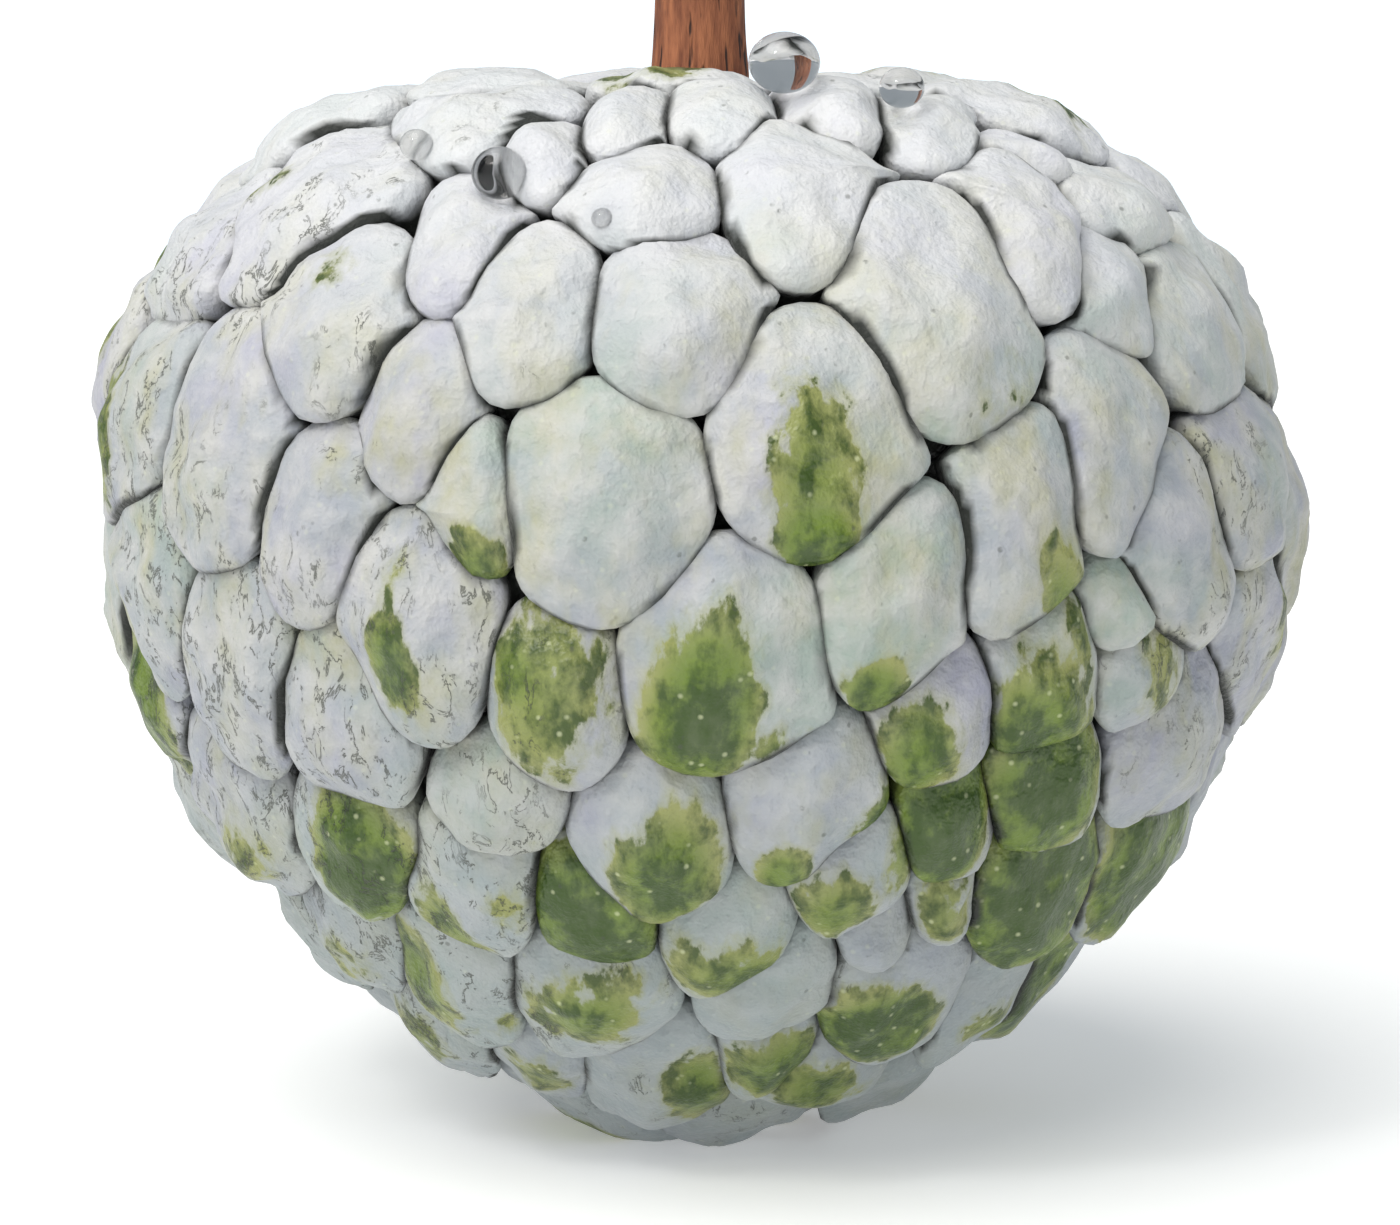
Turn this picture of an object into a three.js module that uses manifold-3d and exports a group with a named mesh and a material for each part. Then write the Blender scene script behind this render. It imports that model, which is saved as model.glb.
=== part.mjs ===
// A custard apple, as picked: one fruit of overlapping tubercles that grew together, the end of its
// woody stalk in the hollow at the top, and a few beads of water on its shoulders.
// Millimetres, +Z up. The origin is under the middle of the fruit, on the surface that it rests on.
// The front faces -Y. Longitude 0 is the front and grows towards +X; latitude 90 is the top.

import * as THREE from "three";
import { mergeVertices } from "three/addons/utils/BufferGeometryUtils.js";
import Module from "manifold-3d";

const wasm = await Module();
wasm.setup();

// Driving dimensions of the fruit's body, a solid of revolution that the tubercle tops touch
const BODY_RADIUS = 42.3;
const BODY_HALF_HEIGHT = 43.2;
const BODY_TAPER = 0.22;
const BODY_SHOULDER = -0.037;
const BODY_SQUARENESS = 1.4;
const HOLLOW_DEPTH = 7.2;
const HOLLOW_WIDTH_DEG = 24;
const CENTRE_ABOVE_REST = 40.4;

// Tubercles: how far they stand out of the grooves, and how each one laps over the next below it
const RELIEF = 4.2;
const TILT = 0.9;
const SAG = 1.1;
const LIFT_PER_MM = 0.09;
const USUAL_SIZE = 13.5;
const MOST_LIFT = 0.7;
const OUTLINE_POWER = 2.3;
const DOME_POWER = 2.6;
const INNER_SHARE = 0.52;
const SHOULDER_SHARE = 0.9;
const CORNER_ROUNDING = 0.75;

// The net of grooves between them: how it is found and how finely it is drawn
const NEAREST = 18;
const GROOVE_STEP = 0.115;
const SETTLING_ROUNDS = 8;
const SETTLING_RATE = 0.35;
const SETTLING_STEP = 0.008;

// Tubercles on the side that no picture shows are spread by rule
const LATTICE_POINTS = 600;
const SPACING_DEG = { top: 13, bottom: 15, waist: 17 };
const FILL_LIMIT = 0.92;
const NEIGHBOURS = 6;
const FILL_SHARE = 0.56;
const RANDOM_SEED = 41;

// The stalk, and the socket in the hollow that it stands in
const STALK_RADIUS = 3.3;
const STALK_FOOT_RADIUS = 4.3;
const STALK_FOOT_HEIGHT = 3.5;
const STALK_TOP_ABOVE_CENTRE = 54;
const STALK_ROOT_DEPTH = 3;
const STALK_EDGE = 0.4;
const STALK_SIDES = 18;
const CLEARANCE = 0.3;

// Longitude, latitude (degrees), half width, half height (mm), lean of the long axis to the right (degrees)
const TUBERCLES = [
  // Lobes round the hollow
  [-34, 58, 9.5, 7, 35],
  [-49, 45, 11, 8, 40],
  [-26, 41, 4, 7.5, -15],
  [-21, 54, 3.5, 8, -20],
  [-11, 58, 3.5, 9, 0],
  [-6, 47, 5, 7.5, -10],
  [3, 60, 4, 9, 0],
  [11, 47, 5.5, 10, 10],
  [23, 62, 4, 9, 20],
  [37, 59, 4, 8, 35],
  [50, 51, 5, 4, 0],
  // Upper band, left to right
  [-70, 40, 9, 7, 0],
  [-38, 34, 6, 9.5, -20],
  [-16, 34, 5, 7.5, -5],
  [-2, 33, 6, 8.5, 0],
  [24, 34, 7, 12, 10],
  [40, 42, 5.5, 11, 25],
  [47, 36, 5, 8, 45],
  [58, 45, 9, 5, 0],
  [62, 31, 9, 7, -30],
  // Waist, left to right
  [-68, 22, 7.5, 8, 0],
  [-48, 20, 6.5, 9.5, 0],
  [-36, 13, 5, 8, 15],
  [-26, 24, 4.5, 6.5, 0],
  [-20, 16, 3.5, 6.5, -10],
  [-8, 16, 7, 9.5, 0],
  [10, 22, 7.5, 10, 5],
  [17, 8, 5.5, 9, 10],
  [29, 14, 5, 10, 15],
  [40, 20, 5.5, 10, 10],
  [48, 10, 6.5, 9.5, -30],
  [42, 6, 4.5, 4.5, 40],
  [64, 17, 8, 8, 0],
  // Below the waist, left to right
  [-64, 5, 6, 8.5, 10],
  [-72, -6, 5.5, 6.5, 0],
  [-49, -2, 6, 9, 30],
  [-35, -5, 6, 8, 30],
  [-26, 4, 6.5, 9, 5],
  [-13, -2, 5, 7.5, 5],
  [2, 2, 7.5, 9.5, 0],
  [22, -4, 4.5, 6, -20],
  [33, -1, 5, 6.5, -15],
  [46, -1, 6, 4.5, 25],
  [54, -9, 9, 6.5, 5],
  [68, 2, 7, 6, 0],
  // Lower band, left to right
  [-72, -34, 6.5, 6, 0],
  [-59, -17, 9, 7, -20],
  [-53, -32, 7, 5.5, -30],
  [-40, -18, 8, 5.5, -40],
  [-25, -21, 5.5, 8, 30],
  [-20, -12, 6.5, 4.5, -35],
  [-12, -24, 4.5, 6.5, -10],
  [-5, -16, 6, 7, 5],
  [10, -12, 6, 7, -20],
  [16, -20, 4.5, 7, -15],
  [22, -28, 3.5, 5, -35],
  [26, -15, 4, 6, -30],
  [29, -24, 3.5, 4.5, -35],
  [37, -12, 7, 5, 40],
  [43, -24, 8, 6, 35],
  [60, -22, 9, 6, 30],
  // Lowest band, left to right
  [-58, -46, 7, 5.5, -30],
  [-36, -36, 6, 9, 40],
  [-33, -50, 4.5, 6, 40],
  [-16, -36, 6, 8, 35],
  [-10, -52, 6, 8.5, 15],
  [4, -28, 5.5, 6.5, -5],
  [9, -34, 5.5, 7, -30],
  [12, -46, 4.5, 6, -15],
  [24, -51, 5, 6, -40],
  [29, -38, 6.5, 9, -40],
  [52, -40, 7, 5.5, 30],
];

// Beads of water: longitude, latitude (degrees) and radius (mm)
const WATER_DROPS = [
  [-36, 49, 1.1],
  [-23, 46, 1.8],
  [30, 57, 1.5],
  [14, 62, 2.3],
  [-10, 41, 0.7],
];
const DROP_FLATNESS = 0.85;
const DROP_SEGMENTS = [12, 8];
const BEAD_STEP = 0.1;

const rad = THREE.MathUtils.degToRad;
const clamp = THREE.MathUtils.clamp;

// The body's surface point at a polar angle from the top and a longitude, both in radians
function bodyPoint(polar, longitude) {
  const radius =
    BODY_RADIUS * Math.sin(polar) * (1 + BODY_TAPER * Math.cos(polar) + BODY_SHOULDER * Math.cos(2 * polar));
  const hollow = HOLLOW_DEPTH * Math.exp(-((polar / rad(HOLLOW_WIDTH_DEG)) ** 2));
  const height = BODY_HALF_HEIGHT * Math.cos(polar) + BODY_SQUARENESS * Math.cos(2 * polar) - hollow;
  return new THREE.Vector3(radius * Math.sin(longitude), -radius * Math.cos(longitude), height);
}

// The unit direction of a longitude and a latitude in degrees
function direction(longitude, latitude) {
  const [lon, lat] = [rad(longitude), rad(latitude)];
  return new THREE.Vector3(Math.cos(lat) * Math.sin(lon), -Math.cos(lat) * Math.cos(lon), Math.sin(lat));
}

// Point and outward normal of the body along a direction, height mm above its surface
function skinPoint(towards, height) {
  const polar = Math.acos(clamp(towards.z, -1, 1));
  const longitude = Math.atan2(towards.x, -towards.y);
  const step = 1e-3;
  const low = bodyPoint(polar + step, longitude);
  const high = bodyPoint(Math.max(polar - step, 1e-6), longitude);
  const down = low.sub(high);
  const east = new THREE.Vector3(Math.cos(longitude), Math.sin(longitude), 0);
  const normal = down.cross(east).normalize();
  return bodyPoint(polar, longitude).addScaledVector(normal, height);
}

// Millimetres of body surface per unit of direction, to the east and to the north
function scaleAt(towards) {
  const polar = clamp(Math.acos(clamp(towards.z, -1, 1)), 0.02, Math.PI - 0.02);
  const step = 1e-3;
  const here = bodyPoint(polar, 0);
  const north = bodyPoint(polar + step, 0).distanceTo(here) / step;
  const east = Math.hypot(here.x, here.y) / Math.sin(polar);
  return { east, north };
}

// Seeded random numbers from 0 to 1
function randomNumbers(seed) {
  let state = seed;
  return () => {
    state = (state * 1664525 + 1013904223) % 4294967296;
    return state / 4294967296;
  };
}

// A tubercle: where it grows, its half sizes and its lean, with the tangent plane that they are measured in
function makeTubercle(centre, halfWidth, halfHeight, lean) {
  const east = new THREE.Vector3(-centre.y, centre.x, 0).normalize();
  const north = new THREE.Vector3().crossVectors(centre, east);
  const lift = clamp(LIFT_PER_MM * (halfWidth + halfHeight - USUAL_SIZE), -MOST_LIFT, MOST_LIFT);
  return { centre, east, north, scale: scaleAt(centre), halfWidth, halfHeight, lean: rad(lean), lift };
}

// Where a direction lies in a tubercle's tangent plane, in mm to the right and up
function planePlace(tubercle, towards) {
  const facing = tubercle.centre.dot(towards);
  const right = (tubercle.east.dot(towards) / facing) * tubercle.scale.east;
  const up = (tubercle.north.dot(towards) / facing) * tubercle.scale.north;
  return { right, up };
}

// A direction as a share of the way from a tubercle's centre to the oval of its half sizes
function ovalShare(tubercle, towards) {
  const { right, up } = planePlace(tubercle, towards);
  const [cos, sin] = [Math.cos(tubercle.lean), Math.sin(tubercle.lean)];
  const across = Math.abs((right * cos - up * sin) / tubercle.halfWidth);
  const along = Math.abs((right * sin + up * cos) / tubercle.halfHeight);
  return (across ** OUTLINE_POWER + along ** OUTLINE_POWER) ** (1 / OUTLINE_POWER);
}

// A point of a tubercle's top: its place in the tangent plane in mm, and its depth below the top
function topPoint(tubercle, right, up, depth) {
  const sunk = up - SAG;
  const towards = tubercle.centre
    .clone()
    .addScaledVector(tubercle.east, right / tubercle.scale.east)
    .addScaledVector(tubercle.north, sunk / tubercle.scale.north)
    .normalize();
  return skinPoint(towards, tubercle.lift - (TILT * up) / tubercle.halfHeight - depth);
}

// How deep the rounded top has dropped at a share of the way out
function domeDepth(share) {
  return RELIEF * (1 - Math.sqrt(Math.max(0, 1 - share ** DOME_POWER)));
}

// The tubercles named above, then the rest, each at the emptiest point of an even lattice
function allCentres() {
  const centres = TUBERCLES.map(([longitude, latitude]) => direction(longitude, latitude));
  const lattice = [];
  for (let i = 0; i < LATTICE_POINTS; i++) {
    const z = 1 - (2 * i + 1) / LATTICE_POINTS;
    const latitude = THREE.MathUtils.radToDeg(Math.asin(z));
    const longitude = THREE.MathUtils.radToDeg(Math.PI * (1 + Math.sqrt(5)) * (i + 0.5));
    const spacing = latitude > 45 ? SPACING_DEG.top : latitude < -40 ? SPACING_DEG.bottom : SPACING_DEG.waist;
    lattice.push({ towards: direction(longitude, latitude), spacing: rad(spacing), gap: Infinity });
  }
  const note = (centre) => {
    for (const point of lattice) point.gap = Math.min(point.gap, point.towards.angleTo(centre) / point.spacing);
  };
  centres.forEach(note);
  for (;;) {
    const emptiest = lattice.reduce((a, b) => (b.gap > a.gap ? b : a));
    if (emptiest.gap < FILL_LIMIT) return centres;
    centres.push(emptiest.towards);
    note(emptiest.towards);
  }
}

// Every tubercle of the fruit
function allTubercles() {
  const random = randomNumbers(RANDOM_SEED);
  const centres = allCentres();
  return centres.map((centre, i) => {
    if (i < TUBERCLES.length) {
      const [, , halfWidth, halfHeight, lean] = TUBERCLES[i];
      return makeTubercle(centre, halfWidth, halfHeight, lean);
    }
    const here = skinPoint(centre, 0);
    const near = centres.filter((other) => other !== centre).map((other) => skinPoint(other, 0).distanceTo(here));
    near.sort((a, b) => a - b);
    const mean = near.slice(0, NEIGHBOURS).reduce((sum, d) => sum + d, 0) / NEIGHBOURS;
    const size = FILL_SHARE * mean;
    const stretch = 1.04 + 0.12 * random();
    return makeTubercle(centre, size / stretch, size * stretch, 30 * (random() - 0.5));
  });
}

// The corners of a tubercle's share of the skin, counter-clockwise from outside. Each side lies on a plane
// through the fruit's centre, and each corner is named by the three tubercles that meet there.
function cornersOf(tubercles, weights, i) {
  const { centre, east, north } = tubercles[i];
  const byDistance = tubercles.map((_, j) => j).filter((j) => j !== i);
  byDistance.sort((a, b) => tubercles[b].centre.dot(centre) - tubercles[a].centre.dot(centre));
  let sides = [-1, -2, -3, -4].map((wall, k) => ({ x: [-1, 1, 1, -1][k], y: [-1, -1, 1, 1][k], wall }));
  for (const j of byDistance.slice(0, NEAREST)) {
    const plane = centre.clone().multiplyScalar(weights[i]).addScaledVector(tubercles[j].centre, -weights[j]);
    const height = (p) => p.x * plane.dot(east) + p.y * plane.dot(north) + plane.dot(centre);
    const kept = [];
    sides.forEach((from, k) => {
      const to = sides[(k + 1) % sides.length];
      const [a, b] = [height(from), height(to)];
      if (a >= 0) kept.push(from);
      if (a >= 0 !== b >= 0) {
        const t = a / (a - b);
        const wall = a >= 0 ? j : from.wall;
        kept.push({ x: from.x + t * (to.x - from.x), y: from.y + t * (to.y - from.y), wall });
      }
    });
    sides = kept;
  }
  return sides.map((corner, k) => {
    const before = sides[(k + sides.length - 1) % sides.length].wall;
    const owners = [i, before, corner.wall].sort((a, b) => a - b);
    const towards = centre.clone().addScaledVector(east, corner.x).addScaledVector(north, corner.y).normalize();
    return { name: owners.join(" "), owners, towards };
  });
}

// Moves a point of the groove net until it lies as far out on each oval that meets there
function settle(point, tubercles) {
  for (let round = 0; round < SETTLING_ROUNDS; round++) {
    const shares = point.owners.map((i) => ovalShare(tubercles[i], point.towards));
    const mean = shares.reduce((a, b) => a + b, 0) / shares.length;
    const move = new THREE.Vector3();
    point.owners.forEach((i, k) => {
      const away = point.towards.clone().sub(tubercles[i].centre);
      move.addScaledVector(away, (SETTLING_RATE * (mean - shares[k])) / shares[k]);
    });
    point.towards.add(move.clampLength(0, SETTLING_STEP)).normalize();
  }
}

// The net of grooves: every tubercle's ring of points, each point shared with its neighbours
function grooveNet(tubercles) {
  const weights = tubercles.map(({ halfWidth, halfHeight, scale }) => {
    const size = (halfWidth + halfHeight) / (scale.east + scale.north);
    return 1 / Math.cos(size);
  });
  const points = new Map();
  const shared = (name, make) => {
    if (!points.has(name)) points.set(name, make());
    return points.get(name);
  };
  const rings = tubercles.map((_, i) => {
    const corners = cornersOf(tubercles, weights, i);
    const ring = [];
    corners.forEach((corner, k) => {
      const next = corners[(k + 1) % corners.length];
      ring.push(shared(corner.name, () => corner));
      const owners = corner.owners.filter((owner) => next.owners.includes(owner));
      const [low, high] = corner.name < next.name ? [corner, next] : [next, corner];
      const steps = Math.max(1, Math.round(low.towards.angleTo(high.towards) / GROOVE_STEP));
      for (let m = 1; m < steps; m++) {
        const t = (low === corner ? m : steps - m) / steps;
        const towards = low.towards.clone().lerp(high.towards, t).normalize();
        const name = `${low.name}, ${high.name}, ${Math.round(t * steps)}`;
        ring.push(shared(name, () => ({ name, owners, towards })));
      }
    });
    return ring;
  });
  for (const point of points.values()) settle(point, tubercles);
  return rings;
}

// The skin of the whole fruit: for each tubercle a middle, two rings and the groove round it
function skinGeometry(tubercles) {
  const places = [];
  const faces = [];
  const grooveIndex = new Map();
  const put = (point) => places.push(point) - 1;
  const putGroove = (point) => {
    if (!grooveIndex.has(point)) grooveIndex.set(point, put(skinPoint(point.towards, -RELIEF)));
    return grooveIndex.get(point);
  };
  grooveNet(tubercles).forEach((ring, i) => {
    const tubercle = tubercles[i];
    const rim = ring.map((point) => planePlace(tubercle, point.towards));
    const usual = rim.reduce((sum, { right, up }) => sum + Math.hypot(right, up), 0) / rim.length;
    const layers = [INNER_SHARE, SHOULDER_SHARE].map((share) =>
      rim.map(({ right, up }) => {
        const rounding = 1 - CORNER_ROUNDING * Math.max(0, 1 - usual / Math.hypot(right, up));
        const reach = share * rounding;
        return put(topPoint(tubercle, reach * right, reach * up + SAG * share ** 2, domeDepth(share)));
      }),
    );
    layers.push(ring.map(putGroove));
    const middle = put(topPoint(tubercle, 0, 0, 0));
    ring.forEach((_, k) => {
      const next = (k + 1) % ring.length;
      faces.push(middle, layers[0][k], layers[0][next]);
      for (let r = 0; r + 1 < layers.length; r++) {
        const [inner, outer] = [layers[r], layers[r + 1]];
        faces.push(inner[k], outer[k], outer[next], inner[k], outer[next], inner[next]);
      }
    });
  });
  const geometry = new THREE.BufferGeometry().setFromPoints(places);
  geometry.setIndex(faces);
  return geometry;
}

// A three.js geometry as a solid that can be joined and cut
function solidOf(geometry) {
  const plain = geometry.clone();
  plain.deleteAttribute("normal");
  plain.deleteAttribute("uv");
  const merged = mergeVertices(plain, 1e-4);
  const solid = new wasm.Manifold(
    new wasm.Mesh({
      numProp: 3,
      vertProperties: new Float32Array(merged.getAttribute("position").array),
      triVerts: new Uint32Array(merged.index.array),
    }),
  );
  if (solid.volume() < 0) throw new Error("a solid is inside out");
  return solid;
}

// A solid as a three.js geometry
function geometryOf(solid) {
  const { vertProperties, triVerts, numProp } = solid.getMesh();
  const points = new Float32Array((vertProperties.length / numProp) * 3);
  for (let i = 0; i * numProp < vertProperties.length; i++)
    points.set(vertProperties.subarray(i * numProp, i * numProp + 3), 3 * i);
  const geometry = new THREE.BufferGeometry();
  geometry.setAttribute("position", new THREE.BufferAttribute(points, 3));
  geometry.setIndex(new THREE.BufferAttribute(triVerts, 1));
  geometry.computeVertexNormals();
  return geometry;
}

// A lathe turned about +Z from [radius, height] pairs
function turned(profile, sides) {
  const points = profile.map(([radius, height]) => new THREE.Vector2(radius, height));
  return new THREE.LatheGeometry(points, sides).rotateX(Math.PI / 2);
}

// Height of the hollow's floor above the fruit's centre
const hollowFloor = bodyPoint(0, 0).z;
const stalkBase = hollowFloor - STALK_ROOT_DEPTH;

// The fruit: its skin, socketed for the stalk and flattened where it rests
function fruitSolid(tubercles) {
  const socketRadius = STALK_FOOT_RADIUS + CLEARANCE;
  const socketTop = stalkBase + 20;
  const socket = turned(
    [
      [0, stalkBase - CLEARANCE],
      [socketRadius, stalkBase - CLEARANCE],
      [socketRadius, socketTop],
      [0, socketTop],
    ],
    STALK_SIDES,
  );
  const keep = new THREE.BoxGeometry(200, 200, 200).translate(0, 0, 100 - CENTRE_ABOVE_REST);
  return solidOf(skinGeometry(tubercles)).subtract(solidOf(socket)).intersect(solidOf(keep));
}

// The stalk: a flared foot in the socket, a straight shaft and a plain cut end
function stalkGeometry() {
  const profile = [
    [0, stalkBase],
    [STALK_FOOT_RADIUS, stalkBase],
    [STALK_FOOT_RADIUS, hollowFloor],
    [STALK_RADIUS + 0.3, hollowFloor + STALK_FOOT_HEIGHT],
    [STALK_RADIUS, hollowFloor + 2 * STALK_FOOT_HEIGHT],
    [STALK_RADIUS, STALK_TOP_ABOVE_CENTRE - STALK_EDGE],
    [STALK_RADIUS - STALK_EDGE, STALK_TOP_ABOVE_CENTRE],
    [0, STALK_TOP_ABOVE_CENTRE],
  ];
  return turned(profile, STALK_SIDES);
}

// A bead of water with its middle at the origin
function beadGeometry(radius) {
  return new THREE.SphereGeometry(radius, ...DROP_SEGMENTS).rotateX(Math.PI / 2).scale(1, 1, DROP_FLATNESS);
}

// The place of a bead that stands just clear of the fruit, straight out from the skin along a direction
function restingPlace(fruit, towards, radius) {
  const keepOff = solidOf(beadGeometry(radius + CLEARANCE));
  const out = skinPoint(towards, 1).sub(skinPoint(towards, 0));
  const position = skinPoint(towards, -RELIEF);
  const quaternion = new THREE.Quaternion().setFromUnitVectors(new THREE.Vector3(0, 0, 1), out);
  const place = new THREE.Matrix4();
  for (;;) {
    place.compose(position, quaternion, new THREE.Vector3(1, 1, 1));
    if (keepOff.transform(place.toArray()).intersect(fruit).volume() === 0) return { position, quaternion };
    position.addScaledVector(out, BEAD_STEP);
  }
}

function material(color, roughness, options = {}) {
  return new THREE.MeshStandardMaterial({ color, roughness, metalness: 0, ...options });
}

function named(name, geometry, look) {
  const mesh = new THREE.Mesh(geometry, look);
  mesh.name = name;
  return mesh;
}

const fruit = fruitSolid(allTubercles());
const custardApple = new THREE.Group();
custardApple.position.z = CENTRE_ABOVE_REST;
custardApple.add(named("fruit", geometryOf(fruit), material(0xbfcac3, 0.75, { flatShading: true })));
custardApple.add(named("stalk", stalkGeometry(), material(0x9c5a35, 0.85)));
WATER_DROPS.forEach(([longitude, latitude, radius], i) => {
  const water = material(0xe8f0f4, 0.05, { transparent: true, opacity: 0.45 });
  const drop = named(`water_drop_${i + 1}`, beadGeometry(radius), water);
  const { position, quaternion } = restingPlace(fruit, direction(longitude, latitude), radius);
  drop.position.copy(position);
  drop.quaternion.copy(quaternion);
  custardApple.add(drop);
});

export default custardApple;
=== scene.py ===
"""A custard apple, dressed in its waxy skin, on a pale studio floor.

The fruit's skin repeats the plan of the solid in the frame (the same body, tubercles and net of
grooves) in far finer steps, then wrinkles it and paints it. Everything is in metres in the row
frame; lengths in the classes below are in millimetres, as the solid's own sizes are.
"""

import logging
import math
from dataclasses import dataclass, field

import bpy
import numpy as np
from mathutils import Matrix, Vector, noise


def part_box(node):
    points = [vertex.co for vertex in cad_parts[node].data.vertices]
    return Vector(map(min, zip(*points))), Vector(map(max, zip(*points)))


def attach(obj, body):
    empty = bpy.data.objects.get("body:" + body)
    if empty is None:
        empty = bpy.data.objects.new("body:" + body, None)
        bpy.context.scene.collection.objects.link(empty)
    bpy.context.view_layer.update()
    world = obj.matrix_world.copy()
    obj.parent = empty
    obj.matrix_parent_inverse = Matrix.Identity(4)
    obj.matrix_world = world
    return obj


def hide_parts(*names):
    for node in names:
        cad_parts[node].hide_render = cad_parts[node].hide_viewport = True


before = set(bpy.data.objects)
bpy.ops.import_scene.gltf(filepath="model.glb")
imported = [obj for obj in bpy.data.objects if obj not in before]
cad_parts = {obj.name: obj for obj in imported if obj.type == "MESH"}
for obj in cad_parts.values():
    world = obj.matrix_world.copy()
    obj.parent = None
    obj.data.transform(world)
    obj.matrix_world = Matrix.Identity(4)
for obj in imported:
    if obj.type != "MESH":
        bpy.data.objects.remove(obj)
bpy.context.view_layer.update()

MM = 0.001
log = logging.getLogger("custard_apple")

# The photograph's frame, in its own pixels, and where the fruit's middle lies in it
PHOTO_WIDTH = 1400
PHOTO_HEIGHT = 1225
FRUIT_MIDDLE_ROW = 587
SENSOR_MM = 36.0
FOCAL_PIXELS = 3737
CAMERA_DISTANCE_MM = 280.0
CAMERA_RISE_DEG = 6.0

# Settings that many of the finishes' nodes share
SMOOTH = {"interpolation_type": "SMOOTHSTEP"}
BLEND = {"data_type": "RGBA"}
PLUS = {"operation": "ADD"}
TIMES = {"operation": "MULTIPLY"}
TIMES_PLUS = {"operation": "MULTIPLY_ADD"}

# A patch of rubbed bloom: how far right and up of the tubercle's middle (mm), half width, half height (mm),
# lean to the right (degrees), how bare (0 to 1, or a little more for deep green)
Patch = tuple[float, float, float, float, float, float]

# A value in a material: a node, which gives its first output, or a socket
Shade = bpy.types.Node | bpy.types.NodeSocket

# The tubercles that the front shows: longitude, latitude (degrees), half width, half height (mm),
# lean of the long axis to the right (degrees)
TUBERCLES = [
    # Lobes round the hollow
    (-34, 58, 9.5, 7, 35),
    (-49, 45, 11, 8, 40),
    (-26, 41, 4, 7.5, -15),
    (-21, 54, 3.5, 8, -20),
    (-11, 58, 3.5, 9, 0),
    (-6, 47, 5, 7.5, -10),
    (3, 60, 4, 9, 0),
    (11, 47, 5.5, 10, 10),
    (23, 62, 4, 9, 20),
    (37, 59, 4, 8, 35),
    (50, 51, 5, 4, 0),
    # Upper band, left to right
    (-70, 40, 9, 7, 0),
    (-38, 34, 6, 9.5, -20),
    (-16, 34, 5, 7.5, -5),
    (-2, 33, 6, 8.5, 0),
    (24, 34, 7, 12, 10),
    (40, 42, 5.5, 11, 25),
    (47, 36, 5, 8, 45),
    (58, 45, 9, 5, 0),
    (62, 31, 9, 7, -30),
    # Waist, left to right
    (-68, 22, 7.5, 8, 0),
    (-48, 20, 6.5, 9.5, 0),
    (-36, 13, 5, 8, 15),
    (-26, 24, 4.5, 6.5, 0),
    (-20, 16, 3.5, 6.5, -10),
    (-8, 16, 7, 9.5, 0),
    (10, 22, 7.5, 10, 5),
    (17, 8, 5.5, 9, 10),
    (29, 14, 5, 10, 15),
    (40, 20, 5.5, 10, 10),
    (48, 10, 6.5, 9.5, -30),
    (42, 6, 4.5, 4.5, 40),
    (64, 17, 8, 8, 0),
    # Below the waist, left to right
    (-64, 5, 6, 8.5, 10),
    (-72, -6, 5.5, 6.5, 0),
    (-49, -2, 6, 9, 30),
    (-35, -5, 6, 8, 30),
    (-26, 4, 6.5, 9, 5),
    (-13, -2, 5, 7.5, 5),
    (2, 2, 7.5, 9.5, 0),
    (22, -4, 4.5, 6, -20),
    (33, -1, 5, 6.5, -15),
    (46, -1, 6, 4.5, 25),
    (54, -9, 9, 6.5, 5),
    (68, 2, 7, 6, 0),
    # Lower band, left to right
    (-72, -34, 6.5, 6, 0),
    (-59, -17, 9, 7, -20),
    (-53, -32, 7, 5.5, -30),
    (-40, -18, 8, 5.5, -40),
    (-25, -21, 5.5, 8, 30),
    (-20, -12, 6.5, 4.5, -35),
    (-12, -24, 4.5, 6.5, -10),
    (-5, -16, 6, 7, 5),
    (10, -12, 6, 7, -20),
    (16, -20, 4.5, 7, -15),
    (22, -28, 3.5, 5, -35),
    (26, -15, 4, 6, -30),
    (29, -24, 3.5, 4.5, -35),
    (37, -12, 7, 5, 40),
    (43, -24, 8, 6, 35),
    (60, -22, 9, 6, 30),
    # Lowest band, left to right
    (-58, -46, 7, 5.5, -30),
    (-36, -36, 6, 9, 40),
    (-33, -50, 4.5, 6, 40),
    (-16, -36, 6, 8, 35),
    (-10, -52, 6, 8.5, 15),
    (4, -28, 5.5, 6.5, -5),
    (9, -34, 5.5, 7, -30),
    (12, -46, 4.5, 6, -15),
    (24, -51, 5, 6, -40),
    (29, -38, 6.5, 9, -40),
    (52, -40, 7, 5.5, 30),
]

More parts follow.
